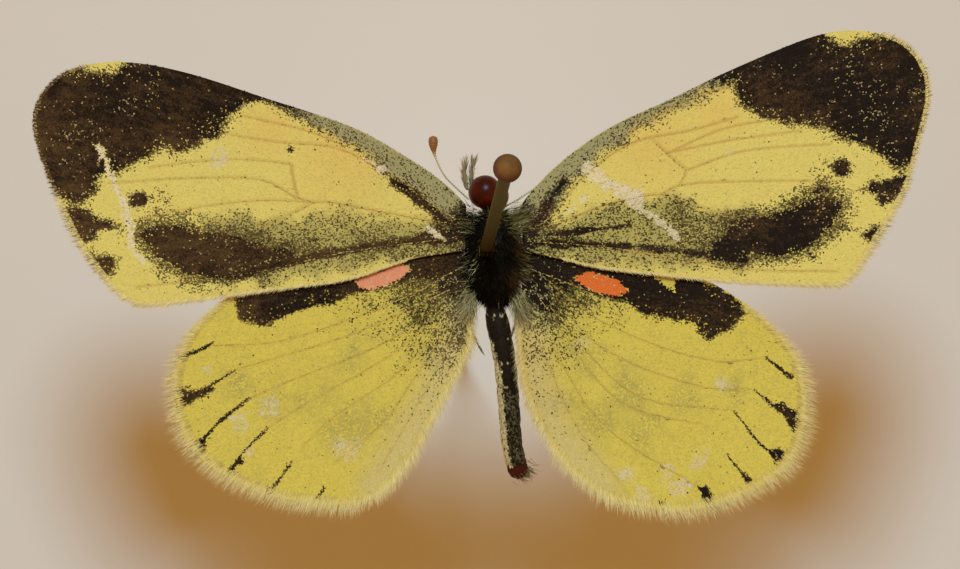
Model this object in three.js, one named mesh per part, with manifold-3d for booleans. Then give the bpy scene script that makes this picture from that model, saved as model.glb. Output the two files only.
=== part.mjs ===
// A small sulphur butterfly, spread flat and pinned through the thorax.
// Millimetres. The pin stands along +Z and enters the board at Z = 0. The head points to +Y.

import * as THREE from 'three';
import { mergeVertices } from 'three/addons/utils/BufferGeometryUtils.js';
import Module from 'manifold-3d';

const wasm = await Module();
wasm.setup();

// Pin
const PIN_LENGTH = 38;
const PIN_RADIUS = 0.2;
const PIN_TIP_LENGTH = 1.6;
const PIN_TIP_RADIUS = 0.03;
const PIN_HEAD_RADIUS = 0.44;
const PIN_HEAD_CENTRE = 27.4;
const PIN_CLEARANCE = 0.03;
const PIN_SIDES = 14;
const PIN_HEAD_SIDES = 20;
const PIN_HEAD_RINGS = 12;

// Wings: both pairs follow one set surface, the forewings above it and the hindwings below it
const WING_HEIGHT = 16.05;
const WING_RISE = 0.03;
const WING_CURL = 0.0012;
const WING_THICKNESS = 0.1;
const WING_OFFSET = 0.09;
const WING_STEPS_OUT = 16;
const WING_STEPS_ACROSS = 14;

// Body
const THORAX_CENTRE = [0.33, -0.08, 15.9];
const THORAX_DEPTH_RATIO = 1.08;
const THORAX_BORE_HALF_LENGTH = 3;
const THORAX_SIDES = 22;
const HEAD_CENTRE = [0.113, 1.954, 16.062];
const HEAD_RADIUS = 0.5;
const HEAD_HALF_WIDTH = 0.18;
const HEAD_SIDES = 22;
const EYE_RADIUS = 0.55;
const EYE_BULGE = 0.5;
const EYE_GAP = 0.03;
const EYE_RINGS = 7;
const EYE_SIDES = 20;
const ABDOMEN_RADIUS = 0.37;
const ABDOMEN_SEGMENTS = 7;
const ABDOMEN_SIDES = 18;
const ABDOMEN_TAPER = 0.14;
const ABDOMEN_RINGS_START = 0.05;
const ABDOMEN_TIP_START = 0.9;
const ANTENNA_RADIUS = 0.045;
const CLUB_RADIUS = 0.16;
const PALP_RADIUS = 0.12;
const LEG_RADIUS = 0.065;
const SLENDER_SIDES = 8;
const LEG_SIDES = 6;
const PROBOSCIS_COIL_RADIUS = 0.15;
const PROBOSCIS_RADIUS = 0.035;
const PROBOSCIS_SIDES = 18;

// Points closer than this are one point when a solid is cut
const MERGE_DISTANCE = 1e-4;

// The head is rolled and turned on its neck, so that its left eye faces up
const HEAD_LEFT = new THREE.Vector3(-0.66, 0.2, 0.72).normalize();

// Outlines in the plane, [x, y]: the costa from root to apex, the outer margin from apex to tornus,
// and the hind margin from tornus to root
const WINGS = {
  forewing_left: {
    side: -1,
    lift: WING_OFFSET,
    costa: [[-0.62, 1.58], [-1.5, 2.45], [-2.8, 3.25], [-4.1, 4.0], [-5.4, 4.45], [-7.4, 5.05],
      [-9.3, 5.65], [-11.3, 6.05], [-12.6, 6.05], [-13.7, 5.7]],
    outer: [[-13.7, 5.7], [-14.4, 5.05], [-14.72, 4.1], [-14.6, 3.35], [-14.2, 2.25], [-13.75, 1.3],
      [-13.15, 0.05], [-12.3, -1.1], [-11.75, -1.7], [-11.2, -2.0]],
    hind: [[-11.2, -2.0], [-9.25, -1.75], [-6.65, -1.35], [-4.4, -1.0], [-2.8, -0.4], [-2.1, -0.2],
      [-0.6, 0.05]],
  },
  forewing_right: {
    side: 1,
    lift: WING_OFFSET,
    costa: [[1.13, 1.55], [1.8, 2.4], [3.1, 3.55], [4.4, 4.4], [5.75, 5.0], [7.7, 6.0], [9.7, 6.9],
      [11.0, 7.4], [12.3, 7.55], [13.4, 7.3]],
    outer: [[13.4, 7.3], [14.15, 6.75], [14.55, 5.7], [14.5, 5.0], [14.3, 4.3], [14.0, 3.2], [13.8, 2.4],
      [13.05, 1.1], [12.3, -0.1], [11.9, -0.7], [11.6, -1.05]],
    hind: [[11.6, -1.05], [10.2, -1.0], [8.3, -0.95], [5.4, -0.7], [3.7, -0.5], [2.4, -0.2],
      [1.24, 0.05]],
  },
  hindwing_left: {
    side: -1,
    lift: -WING_OFFSET,
    costa: [[-0.6, 0.4], [-1.8, 0.5], [-3.5, 0.4], [-5.5, -0.1], [-7.2, -0.9], [-8.9, -2.1],
      [-9.55, -2.9]],
    outer: [[-9.55, -2.9], [-9.98, -3.96], [-10.0, -4.9], [-9.8, -5.85], [-9.33, -6.73], [-8.36, -7.47],
      [-6.92, -8.06], [-5.31, -8.33], [-4.0, -8.3], [-3.2, -7.85]],
    hind: [[-3.2, -7.85], [-2.4, -6.8], [-1.6, -5.25], [-0.8, -3.7], [-0.45, -2.9], [-0.5, -2.2],
      [-0.56, -1.2]],
  },
  hindwing_right: {
    side: 1,
    lift: -WING_OFFSET,
    costa: [[1.24, 0.3], [1.8, 0.4], [3.5, 0.3], [5.5, -0.1], [7.0, -0.75], [8.4, -1.6], [9.3, -2.35],
      [9.9, -3.1]],
    outer: [[9.9, -3.1], [10.3, -3.95], [10.34, -4.7], [10.28, -5.65], [10.0, -6.6], [9.36, -7.28],
      [8.2, -7.94], [6.9, -8.34], [6.0, -8.44], [5.1, -8.3], [4.2, -8.15], [3.4, -7.7]],
    hind: [[3.4, -7.7], [2.55, -6.9], [1.85, -5.8], [1.32, -4.5], [1.16, -3.6], [1.12, -2.6], [1.2, -1.3]],
  },
};

// Centre lines in space, [x, y, z]
const ABDOMEN_LINE = [[0.26, -1.68, 15.85], [0.4, -2.18, 15.78], [0.54, -2.8, 15.65], [0.67, -3.43, 15.45],
  [0.76, -4.05, 15.2], [0.9, -5.24, 14.55], [1.0, -5.95, 14.08], [1.3, -6.96, 13.4]];
const ANTENNA_LINES = {
  antenna_left: [[-0.5, 1.92, 15.45], [-0.96, 2.3, 15.62], [-1.3, 2.61, 15.78], [-1.53, 2.99, 15.9],
    [-1.67, 3.37, 16.0], [-1.71, 3.87, 16.15]],
  antenna_right: [[0.62, 1.66, 15.42], [1.07, 1.9, 15.55], [1.5, 2.18, 15.6], [1.99, 2.54, 15.6],
    [2.56, 2.87, 15.55], [2.9, 3.1, 15.5]],
};
const PALP_LINES = {
  palp_left: [[-0.56, 2.2, 15.6], [-0.67, 2.7, 15.75], [-0.65, 3.14, 15.9]],
  palp_right: [[-0.34, 2.25, 15.35], [-0.42, 2.75, 15.55], [-0.36, 3.24, 15.72]],
};
const PROBOSCIS_CENTRE = [-0.3, 2.2, 14.95];

// Left legs, folded back under the thorax; the right ones mirror them about the body's middle
const LEG_LINES = {
  fore: [[0.08, 0.95, 15.14], [-0.5, 1.2, 14.8], [-0.46, 0.45, 14.45], [-0.52, -0.3, 14.25]],
  mid: [[0.02, -0.45, 14.92], [-0.75, -0.15, 14.75], [-0.72, -1.05, 14.45], [-0.62, -1.9, 14.3]],
  hind: [[0.1, -0.95, 15.02], [-0.45, -1.1, 14.95], [-0.4, -2.1, 14.75], [-0.15, -2.75, 14.6],
    [0.05, -3.05, 14.5]],
};

const surfaces = {
  wing: { color: '#b9a650', roughness: 0.8, metalness: 0 },
  fur: { color: '#241f12', roughness: 0.9, metalness: 0 },
  abdomen: { color: '#3b3320', roughness: 0.85, metalness: 0 },
  eye: { color: '#4a1a0a', roughness: 0.25, metalness: 0 },
  antenna: { color: '#7a5426', roughness: 0.6, metalness: 0 },
  palp: { color: '#8b7c55', roughness: 0.9, metalness: 0 },
  leg: { color: '#6b5a38', roughness: 0.7, metalness: 0 },
  pin: { color: '#4d4220', roughness: 0.35, metalness: 0.9 },
  pinHead: { color: '#6c4e23', roughness: 0.3, metalness: 0 },
};

const part = new THREE.Group();

function addPiece(name, geometry, surface) {
  const mesh = new THREE.Mesh(geometry, new THREE.MeshStandardMaterial(surface));
  mesh.name = name;
  part.add(mesh);
  return mesh;
}

function spline(points) {
  const knots = points.map(([x, y, z]) => new THREE.Vector3(x, y, z ?? 0));
  return new THREE.CatmullRomCurve3(knots, false, 'centripetal');
}

function profileOf(pairs) {
  return pairs.map(([radius, along]) => new THREE.Vector2(radius, along));
}

// Height of the surface on which the wings are set. They rise a little from the body
// and curl up at the tips.
function setHeight(x) {
  return WING_HEIGHT + WING_RISE * Math.abs(x) + WING_CURL * x * x;
}

// A thin plate between the four edges of a wing: u runs from root to outer margin,
// v from hind margin to costa
function wingGeometry({ side, lift, costa, outer, hind }) {
  const lead = spline(costa);
  const margin = spline([...outer].reverse());
  const trail = spline([...hind].reverse());
  const rootTrail = trail.getPoint(0);
  const rootLead = lead.getPoint(0);
  const tornus = trail.getPoint(1);
  const apex = lead.getPoint(1);

  const geometry = new THREE.BoxGeometry(1, 1, 1, WING_STEPS_OUT, WING_STEPS_ACROSS, 1);
  const position = geometry.attributes.position;
  for (let i = 0; i < position.count; i += 1) {
    const u = 0.5 + side * position.getX(i);
    const v = 0.5 + position.getY(i);
    const point = new THREE.Vector3()
      .addScaledVector(trail.getPointAt(u), 1 - v)
      .addScaledVector(lead.getPointAt(u), v)
      .addScaledVector(rootTrail.clone().lerp(rootLead, v), 1 - u)
      .addScaledVector(margin.getPointAt(v), u)
      .addScaledVector(rootTrail, -(1 - u) * (1 - v))
      .addScaledVector(tornus, -u * (1 - v))
      .addScaledVector(rootLead, -(1 - u) * v)
      .addScaledVector(apex, -u * v);
    const height = setHeight(point.x) + lift + WING_THICKNESS * position.getZ(i);
    position.setXYZ(i, point.x, point.y, height);
  }
  return geometry;
}

// A round body along a curved line: a lathe whose rings are moved to their places on the line.
// The profile gives radii at fractions of the line's length.
function sweptLathe(profile, line, sides) {
  const path = spline(line);
  const geometry = new THREE.LatheGeometry(profileOf(profile), sides);
  const position = geometry.attributes.position;
  for (let i = 0; i < position.count; i += 1) {
    const along = THREE.MathUtils.clamp(position.getY(i), 0, 1);
    const tangent = path.getTangentAt(along);
    const across = new THREE.Vector3().crossVectors(tangent, new THREE.Vector3(0, 0, 1)).normalize();
    const over = new THREE.Vector3().crossVectors(across, tangent);
    const point = path.getPointAt(along)
      .addScaledVector(across, position.getX(i))
      .addScaledVector(over, position.getZ(i));
    position.setXYZ(i, point.x, point.y, point.z);
  }
  return geometry;
}

// A solid for cutting: shared vertices merged, and the flat triangles at a lathe's poles left out
function toSolid(mesh) {
  mesh.updateMatrixWorld();
  const bare = mesh.geometry.clone().applyMatrix4(mesh.matrixWorld);
  bare.deleteAttribute('normal');
  bare.deleteAttribute('uv');
  const merged = mergeVertices(bare, MERGE_DISTANCE);
  const corners = [];
  for (let i = 0; i < merged.index.count; i += 3) {
    const [a, b, c] = merged.index.array.slice(i, i + 3);
    if (a !== b && b !== c && c !== a) {
      corners.push(a, b, c);
    }
  }
  const vertProperties = new Float32Array(merged.attributes.position.array);
  const triVerts = new Uint32Array(corners);
  return new wasm.Manifold(new wasm.Mesh({ numProp: 3, vertProperties, triVerts }));
}

function fromSolid(solid) {
  const { vertProperties, triVerts } = solid.getMesh();
  const geometry = new THREE.BufferGeometry();
  geometry.setAttribute('position', new THREE.BufferAttribute(vertProperties, 3));
  geometry.setIndex(new THREE.BufferAttribute(triVerts, 1));
  geometry.computeVertexNormals();
  return geometry;
}

// Pin: one shaft from the point to just under the round head
const pinPoint = PIN_HEAD_CENTRE + PIN_HEAD_RADIUS - PIN_LENGTH;
const pinTop = PIN_HEAD_CENTRE - PIN_HEAD_RADIUS - PIN_CLEARANCE;
const pinProfile = profileOf([
  [0, pinPoint],
  [PIN_TIP_RADIUS, pinPoint + 0.05],
  [PIN_RADIUS * 0.7, pinPoint + PIN_TIP_LENGTH * 0.6],
  [PIN_RADIUS, pinPoint + PIN_TIP_LENGTH],
  [PIN_RADIUS, pinTop],
  [0, pinTop],
]);
const pin = addPiece('pin', new THREE.LatheGeometry(pinProfile, PIN_SIDES), surfaces.pin);
pin.rotation.x = Math.PI / 2;

const pinHead = addPiece(
  'pin_head',
  new THREE.SphereGeometry(PIN_HEAD_RADIUS, PIN_HEAD_SIDES, PIN_HEAD_RINGS),
  surfaces.pinHead,
);
pinHead.rotation.x = Math.PI / 2;
pinHead.position.z = PIN_HEAD_CENTRE;

// Thorax: an egg along Y, bored where the pin goes through
const thoraxProfile = profileOf([
  [0, -1.56], [0.3, -1.5], [0.5, -1.3], [0.66, -0.95], [0.76, -0.45], [0.79, 0.1],
  [0.76, 0.6], [0.66, 1.0], [0.5, 1.28], [0.28, 1.46], [0, 1.52],
]);
const whole = new THREE.Mesh(new THREE.LatheGeometry(thoraxProfile, THORAX_SIDES));
whole.position.set(...THORAX_CENTRE);
whole.scale.z = THORAX_DEPTH_RATIO;
const boreRadius = PIN_RADIUS + PIN_CLEARANCE;
const bore = new THREE.Mesh(
  new THREE.CylinderGeometry(boreRadius, boreRadius, 2 * THORAX_BORE_HALF_LENGTH, PIN_SIDES),
);
bore.rotation.x = Math.PI / 2;
bore.position.z = THORAX_CENTRE[2];
addPiece('thorax', fromSolid(toSolid(whole).subtract(toSolid(bore))), surfaces.fur);

// Head: a thin disc between the two eyes, which are caps on its flat sides
const headProfile = profileOf([
  [0, -HEAD_HALF_WIDTH],
  [HEAD_RADIUS * 0.75, -HEAD_HALF_WIDTH],
  [HEAD_RADIUS * 0.96, -HEAD_HALF_WIDTH * 0.6],
  [HEAD_RADIUS, 0],
  [HEAD_RADIUS * 0.96, HEAD_HALF_WIDTH * 0.6],
  [HEAD_RADIUS * 0.75, HEAD_HALF_WIDTH],
  [0, HEAD_HALF_WIDTH],
]);
const upright = new THREE.Vector3(0, 1, 0);
const head = addPiece('head', new THREE.LatheGeometry(headProfile, HEAD_SIDES), surfaces.fur);
head.position.set(...HEAD_CENTRE);
head.quaternion.setFromUnitVectors(upright, HEAD_LEFT);

const eyeProfile = [new THREE.Vector2(0, 0)];
for (let ring = 0; ring <= EYE_RINGS; ring += 1) {
  const angle = (ring / EYE_RINGS) * Math.PI / 2;
  const radius = ring === EYE_RINGS ? 0 : EYE_RADIUS * Math.cos(angle);
  eyeProfile.push(new THREE.Vector2(radius, EYE_BULGE * Math.sin(angle)));
}
for (const [name, outward] of [['eye_left', HEAD_LEFT], ['eye_right', HEAD_LEFT.clone().negate()]]) {
  const eye = addPiece(name, new THREE.LatheGeometry(eyeProfile, EYE_SIDES), surfaces.eye);
  eye.position.set(...HEAD_CENTRE).addScaledVector(outward, HEAD_HALF_WIDTH + EYE_GAP);
  eye.quaternion.setFromUnitVectors(upright, outward);
}

for (const [name, line] of Object.entries(PALP_LINES)) {
  const profile = [[0, 0], [0.7, 0.03], [1, 0.25], [0.9, 0.5], [0.6, 0.75], [0.3, 0.93], [0, 1]];
  const scaled = profile.map(([radius, along]) => [radius * PALP_RADIUS, along]);
  addPiece(name, sweptLathe(scaled, line, SLENDER_SIDES), surfaces.palp);
}

const coil = addPiece(
  'proboscis',
  new THREE.TorusGeometry(PROBOSCIS_COIL_RADIUS, PROBOSCIS_RADIUS, SLENDER_SIDES, PROBOSCIS_SIDES),
  surfaces.antenna,
);
coil.position.set(...PROBOSCIS_CENTRE);
coil.quaternion.setFromUnitVectors(new THREE.Vector3(0, 0, 1), HEAD_LEFT);

// Antennae: a thin stalk that thickens into a blunt club over its last fifth
for (const [name, line] of Object.entries(ANTENNA_LINES)) {
  const profile = [
    [0, 0], [ANTENNA_RADIUS, 0.01], [ANTENNA_RADIUS, 0.25], [ANTENNA_RADIUS, 0.5], [ANTENNA_RADIUS, 0.7],
    [CLUB_RADIUS * 0.5, 0.78], [CLUB_RADIUS * 0.85, 0.87], [CLUB_RADIUS, 0.93], [CLUB_RADIUS * 0.85, 0.99],
    [0, 1],
  ];
  addPiece(name, sweptLathe(profile, line, SLENDER_SIDES), surfaces.antenna);
}

// Abdomen: ringed by its segments, with a blunt tip, drooping below the wings
const abdomenProfile = [[0, 0], [ABDOMEN_RADIUS * 0.62, 0.005]];
for (let segment = 0; segment < ABDOMEN_SEGMENTS; segment += 1) {
  const step = (ABDOMEN_TIP_START - ABDOMEN_RINGS_START) / ABDOMEN_SEGMENTS;
  const start = ABDOMEN_RINGS_START + segment * step;
  const full = ABDOMEN_RADIUS * (1 - ABDOMEN_TAPER * start);
  abdomenProfile.push([full * 0.94, start], [full, start + step * 0.35], [full, start + step * 0.8]);
}
abdomenProfile.push(
  [ABDOMEN_RADIUS * 0.84, 0.91],
  [ABDOMEN_RADIUS * 0.92, 0.94],
  [ABDOMEN_RADIUS * 0.74, 0.975],
  [0, 1],
);
addPiece('abdomen', sweptLathe(abdomenProfile, ABDOMEN_LINE, ABDOMEN_SIDES), surfaces.abdomen);

// Legs: thick to the knee, thinner shin, thread-like foot
const legProfile = [
  [0, 0], [0.9, 0.01], [1, 0.12], [0.85, 0.26], [0.62, 0.32], [0.7, 0.4], [0.62, 0.6],
  [0.45, 0.66], [0.4, 0.8], [0.35, 0.97], [0, 1],
].map(([radius, along]) => [radius * LEG_RADIUS, along]);
for (const [name, line] of Object.entries(LEG_LINES)) {
  const mirrored = line.map(([x, y, z]) => [2 * THORAX_CENTRE[0] - x, y, z]);
  addPiece(`leg_${name}_left`, sweptLathe(legProfile, line, LEG_SIDES), surfaces.leg);
  addPiece(`leg_${name}_right`, sweptLathe(legProfile, mirrored, LEG_SIDES), surfaces.leg);
}

for (const [name, outline] of Object.entries(WINGS)) {
  addPiece(name, wingGeometry(outline), surfaces.wing);
}

export default part;
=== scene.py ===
"""The looks of a small sulphur butterfly, spread and pinned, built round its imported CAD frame."""

import math

import bpy
import numpy as np
from bpy.props import FloatProperty, FloatVectorProperty, IntProperty, PointerProperty
from mathutils import Matrix, Vector
from mathutils.bvhtree import BVHTree
from mathutils.kdtree import KDTree


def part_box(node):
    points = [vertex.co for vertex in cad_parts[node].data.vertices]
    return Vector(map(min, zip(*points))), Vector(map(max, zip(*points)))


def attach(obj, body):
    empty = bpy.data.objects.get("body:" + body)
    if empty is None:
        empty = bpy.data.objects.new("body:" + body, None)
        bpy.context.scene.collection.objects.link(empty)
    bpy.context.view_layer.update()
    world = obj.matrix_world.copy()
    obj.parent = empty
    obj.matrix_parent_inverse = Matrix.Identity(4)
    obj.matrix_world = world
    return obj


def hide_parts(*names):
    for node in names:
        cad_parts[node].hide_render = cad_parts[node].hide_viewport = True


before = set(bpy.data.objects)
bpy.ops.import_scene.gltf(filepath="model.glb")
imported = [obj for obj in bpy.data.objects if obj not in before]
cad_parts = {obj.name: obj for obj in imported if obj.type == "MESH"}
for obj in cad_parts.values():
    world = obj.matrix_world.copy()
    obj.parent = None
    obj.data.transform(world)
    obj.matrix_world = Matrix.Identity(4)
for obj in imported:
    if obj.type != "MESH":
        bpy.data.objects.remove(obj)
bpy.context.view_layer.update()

bl_info = {
    "name": "Pinned Sulphur Butterfly",
    "version": (1, 0, 0),
    "blender": (4, 5, 0),
    "location": "3D View > Sidebar > Butterfly",
    "description": "Builds a pinned butterfly's wings, scales, hair and body on its CAD frame",
    "category": "Object",
}

MM = 0.001
SIDES = ("left", "right")

# Where each step's random draws start, and the seeds of the smooth random fields
SEED = 4711
DRAWS = {
    "shading": 0, "scales": 0, "underscales": 10, "fringe": 20, "thorax": 40, "tufts": 50,
    "abdomen": 60, "mouthparts": 70, "legs": 80,
}
FIELDS = {
    "edge": 11, "fine edge": 12, "dust": 13, "worn": 14, "mottle": 15, "worn rays": 16,
    "scratch": 17, "broad scratch": 18, "rays": 19, "broad rays": 20, "near body": 21,
    "greens": 22, "grain": 23, "ruffle": 30,
}


def draws(step, index=0):
    """The random numbers of one step, the same on every run."""
    return np.random.default_rng(SEED + DRAWS[step] + index)


# Settings


def linear(*levels):
    """Scene-linear colour of three display levels from 0 to 255."""
    return tuple(
        level / 255 / 12.92 if level <= 10 else ((level / 255 + 0.055) / 1.055) ** 2.4
        for level in levels
    )


def three(name, description, most, levels):
    return FloatVectorProperty(name=name, description=description, subtype="COLOR", size=3,
                               min=0.0, max=most, default=levels)


def colour(name, description, *levels):
    return three(name, description, 1.0, linear(*levels))


def light(name, description, *levels):
    return three(name, description, 2.0, levels)


def length(name, description, millimetres):
    return FloatProperty(name=name, description=description, unit="LENGTH", subtype="DISTANCE",
                         min=0.0, precision=6, default=millimetres * MM)


def angle(name, description, degrees):
    return FloatProperty(name=name, description=description, subtype="ANGLE",
                         default=math.radians(degrees))


def count(name, description, number):
    return IntProperty(name=name, description=description, min=1, default=number)


class WingSettings(bpy.types.PropertyGroup):
    """Sizes and colours of the wings"""

    membrane_thickness: length("Membrane", "Thickness of the bare wing", 0.02)
    vein_radius: length("Vein radius", "Radius of a main vein at the wing's root", 0.036)
    row_spacing: length("Row spacing", "Distance from one row of scales to the next", 0.045)
    scale_spacing: length("Scale spacing", "Distance between scales in a row", 0.042)
    scale_length: length("Scale length", "Length of an upper scale", 0.094)
    scale_width: length("Scale width", "Width of an upper scale", 0.066)
    under_spacing: length("Underside spacing", "Distance between the scales below the wing", 0.16)
    fringe_length: length("Fringe length", "Length of the fringe on the outer margins", 0.56)
    yellow: colour("Yellow", "Ground colour of the wings", 228, 208, 108)
    hind_yellow: colour("Hindwing yellow", "Ground colour of the hindwings", 221, 199, 82)
    warm: colour("Orange yellow", "Tint near the forewing's front edge", 230, 188, 96)
    black: colour("Black", "Scales of the black markings", 30, 18, 5)
    brown: colour("Brown", "Worn scales in the black markings", 98, 70, 36)
    olive: colour("Olive", "Ground colour of the dusted zone", 168, 156, 84)
    costa: colour("Costal grey", "Scales along the front edge", 148, 143, 104)
    spot_left: colour("Left spot", "Pale salmon spot on the left hindwing", 236, 152, 112)
    spot_right: colour("Right spot", "Orange spot on the right hindwing", 229, 112, 46)
    vein: colour("Vein", "Scales over the veins", 196, 150, 72)
    pale: colour("Pale", "Worn and whitish scales", 218, 200, 158)
    scratch: colour("Scratch", "Torn and rubbed streaks", 232, 216, 186)
    underside: colour("Underside", "Scales below the wings", 206, 190, 118)
    membrane: colour("Membrane colour", "Bare wing between scales", 206, 184, 104)
    fringe: colour("Fringe colour", "Hair-like scales of the margins", 226, 211, 148)


class BodySettings(bpy.types.PropertyGroup):
    """Sizes and colours of the body and its parts"""

    fur_length: length("Fur length", "Length of the hair on the thorax", 0.42)
    fur_count: count("Fur count", "Hairs on the thorax", 6600)
    fur_black: colour("Black fur", "Most of the thorax hair", 22, 19, 8)
    # The thorax's brown on its right side is painted warm shade
    fur_brown: colour("Brown fur", "Hair on the thorax's right side", 84, 58, 30)
    fur_olive: colour("Olive fur", "Hair by the right shoulder", 132, 122, 70)
    fur_pale: colour("Pale fur", "Tufts at the shoulders and sides", 204, 196, 140)
    abdomen_dark: colour("Abdomen top", "Scales on the back of the abdomen", 34, 28, 16)
    abdomen_pale: colour("Abdomen side", "Scales on the side of the abdomen", 206, 197, 146)
    abdomen_tip: colour("Abdomen tip", "Bare tip of the abdomen", 72, 28, 14)
    eye: colour("Eye", "Glossy red-brown of the eyes", 74, 20, 7)
    antenna: colour("Antenna", "Stalk and club", 144, 96, 42)
    palp: colour("Palp", "Scales of the palps", 158, 142, 102)
    leg: colour("Leg", "Legs", 122, 104, 62)
    pin: colour("Pin", "Lacquered shaft of the pin", 68, 57, 24)
    # The pin head's colours hold painted light: the crown colour is a painted highlight, the side
    # colour painted shade
    pin_head_painted_shade: colour("Pin head side", "Darker lacquer round the pin's head", 94, 58, 46)
    pin_head: colour("Pin head", "Lacquer of the pin's head", 120, 85, 40)


class StageSettings(bpy.types.PropertyGroup):
    """Floor, light and camera"""

    floor_size: length("Floor size", "Side of the floor", 1600)
    floor: colour("Floor", "Plain pale board", 227, 216, 199)
    ambient: light("Ambient", "Light from all round, warm", 0.55, 0.306, 0.094)
    key: light("Key", "Share of the soft lamp's light on the floor, cool", 0.405, 0.64, 0.87)
    key_distance: length("Lamp distance", "From the wings", 600)
    key_size: length("Lamp size", "Width of the round lamp", 180)
    key_tilt: angle("Lamp tilt", "How far the lamp leans towards the head", 22)
    key_lean: angle("Lamp lean", "How far the lamp leans towards the left wings", 4)


# Shader nodes


class Value:
    """A shader socket on which Python's arithmetic adds Math nodes."""

    def __init__(self, finish, socket):
        self.finish, self.socket = finish, socket

    def maths(self, operation, *values):
        return self.finish.node("ShaderNodeMath", {"operation": operation}, dict(enumerate(values)))

    def __add__(self, other):
        return self.maths("ADD", self, other)

    def __sub__(self, other):
        return self.maths("SUBTRACT", self, other)

    def __rsub__(self, other):
        return self.maths("SUBTRACT", other, self)

    def __mul__(self, other):
        return self.maths("MULTIPLY", self, other)

    def __pow__(self, other):
        return self.maths("POWER", self, other)

    __radd__ = __add__
    __rmul__ = __mul__


class Finish:
    """A node material with one Principled shader."""

    def __init__(self, name, **fixed):
        self.material = bpy.data.materials.new(name)
        self.material.use_nodes = True
        self.tree = self.material.node_tree
        self.shader = self.tree.nodes["Principled BSDF"]
        for socket, value in fixed.items():
            self.shader.inputs[socket.replace("_", " ")].default_value = value

    def node(self, kind, settings=None, inputs=None, out=0):
        """Adds a node: its settings first, then its sockets by name or number, then the output."""
        made = self.tree.nodes.new(kind)
        for key, value in (settings or {}).items():
            setattr(made, key, value)
        for key, value in (inputs or {}).items():
            if isinstance(value, Value):
                self.tree.links.new(value.socket, made.inputs[key])
            else:
                made.inputs[key].default_value = value
        return Value(self, made.outputs[out])

    def mix(self, factor, first, second):
        """Colour between two colours."""
        ends = [value if isinstance(value, Value) else (*value, 1) for value in (first, second)]
        return self.node(
            "ShaderNodeMix", {"data_type": "RGBA"}, {0: factor, 6: ends[0], 7: ends[1]}, out=2
        )

    def dim(self, shade, amount):
        """A colour scaled by a value."""
        return self.node(
            "ShaderNodeVectorMath", {"operation": "SCALE"}, {"Vector": shade, "Scale": amount}
        )

    def attribute(self, name):
        return self.node("ShaderNodeAttribute", {"attribute_name": name}, out=2)

    def place(self):
        return self.node("ShaderNodeTexCoord", out=3)

    def away(self, centre):
        """Distance in metres from a place."""
        return self.node("ShaderNodeVectorMath", {"operation": "DISTANCE"},
                         {0: self.place(), 1: centre}, out=1)

    def noise(self, scale, detail=2.0, stretch=None):
        """Value noise in object space. Scale is in waves a metre."""
        where = self.place()
        if stretch:
            where = self.node("ShaderNodeMapping", None, {"Vector": where, "Scale": stretch})
        return self.node("ShaderNodeTexNoise", None,
                         {"Vector": where, "Scale": scale, "Detail": detail})

    def between(self, value, low, high):
        """A value turned to 0 at low and 1 at high, eased."""
        return self.node("ShaderNodeMapRange", {"interpolation_type": "SMOOTHSTEP"},
                         {"Value": value, "From Min": low, "From Max": high})

    def bump(self, height, depth, strength=1.0):
        """A bump of a depth in millimetres."""
        return self.node("ShaderNodeBump", None,
                         {"Height": height, "Distance": depth * MM, "Strength": strength})

    def paint(self, **linked):
        """Links values to the shader's sockets and gives the material."""
        for socket, value in linked.items():
            self.tree.links.new(value.socket, self.shader.inputs[socket.replace("_", " ")])
        return self.material


def scaled(shade, share):
    """A plain colour made darker or lighter."""
    return tuple(min(level * share, 1) for level in shade)


def skin_finish(name, shade, grain=9000, roughness=0.5):
    """Dark, finely wrinkled skin."""
    finish = Finish(name, Roughness=roughness, Specular_IOR_Level=0.12)
    rough = finish.noise(grain, 4)
    tone = finish.mix(rough, scaled(shade, 0.6), scaled(shade, 1.3))
    return finish.paint(Base_Color=tone, Normal=finish.bump(rough, 0.01, 0.6))


def plain_finish(name, shade, spread):
    """Hair of one colour that differs in lightness by its grain."""
    finish = Finish(name, Roughness=0.65, Specular_IOR_Level=0.3)
    ends = scaled(shade, 1 - spread), scaled(shade, 1 + spread)
    tone = finish.mix(finish.attribute("grain"), *ends)
    return finish.paint(Base_Color=tone)


# Shapes


def only(*chosen):
    """Selects these objects and nothing else, and makes the first one active."""
    bpy.ops.object.select_all(action="DESELECT")
    for made in chosen:
        made.select_set(True)
    bpy.context.view_layer.objects.active = chosen[0]


def pick_faces(made, test):
    """Goes into edit mode with only those faces selected that pass a test."""
    bpy.ops.object.mode_set(mode="EDIT")
    bpy.ops.mesh.select_mode(type="FACE")
    bpy.ops.mesh.select_all(action="DESELECT")
    bpy.ops.object.mode_set(mode="OBJECT")
    for face in made.data.polygons:
        face.select = test(face)
    bpy.ops.object.mode_set(mode="EDIT")


def rounded_off(degrees):
    """Leaves edit mode and smooths the active piece but for edges sharper than this."""
    bpy.ops.object.mode_set(mode="OBJECT")
    bpy.ops.object.shade_smooth_by_angle(angle=math.radians(degrees))


def dress(made, material, slot, *nodes):
    """Gives a finished piece its material and its body, and hides the CAD nodes it stands for; the
    slot is not used.
    """
    made.data.materials.clear()
    made.data.materials.append(material)
    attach(made, "root")
    if nodes:
        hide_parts(*nodes)
    return made


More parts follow.
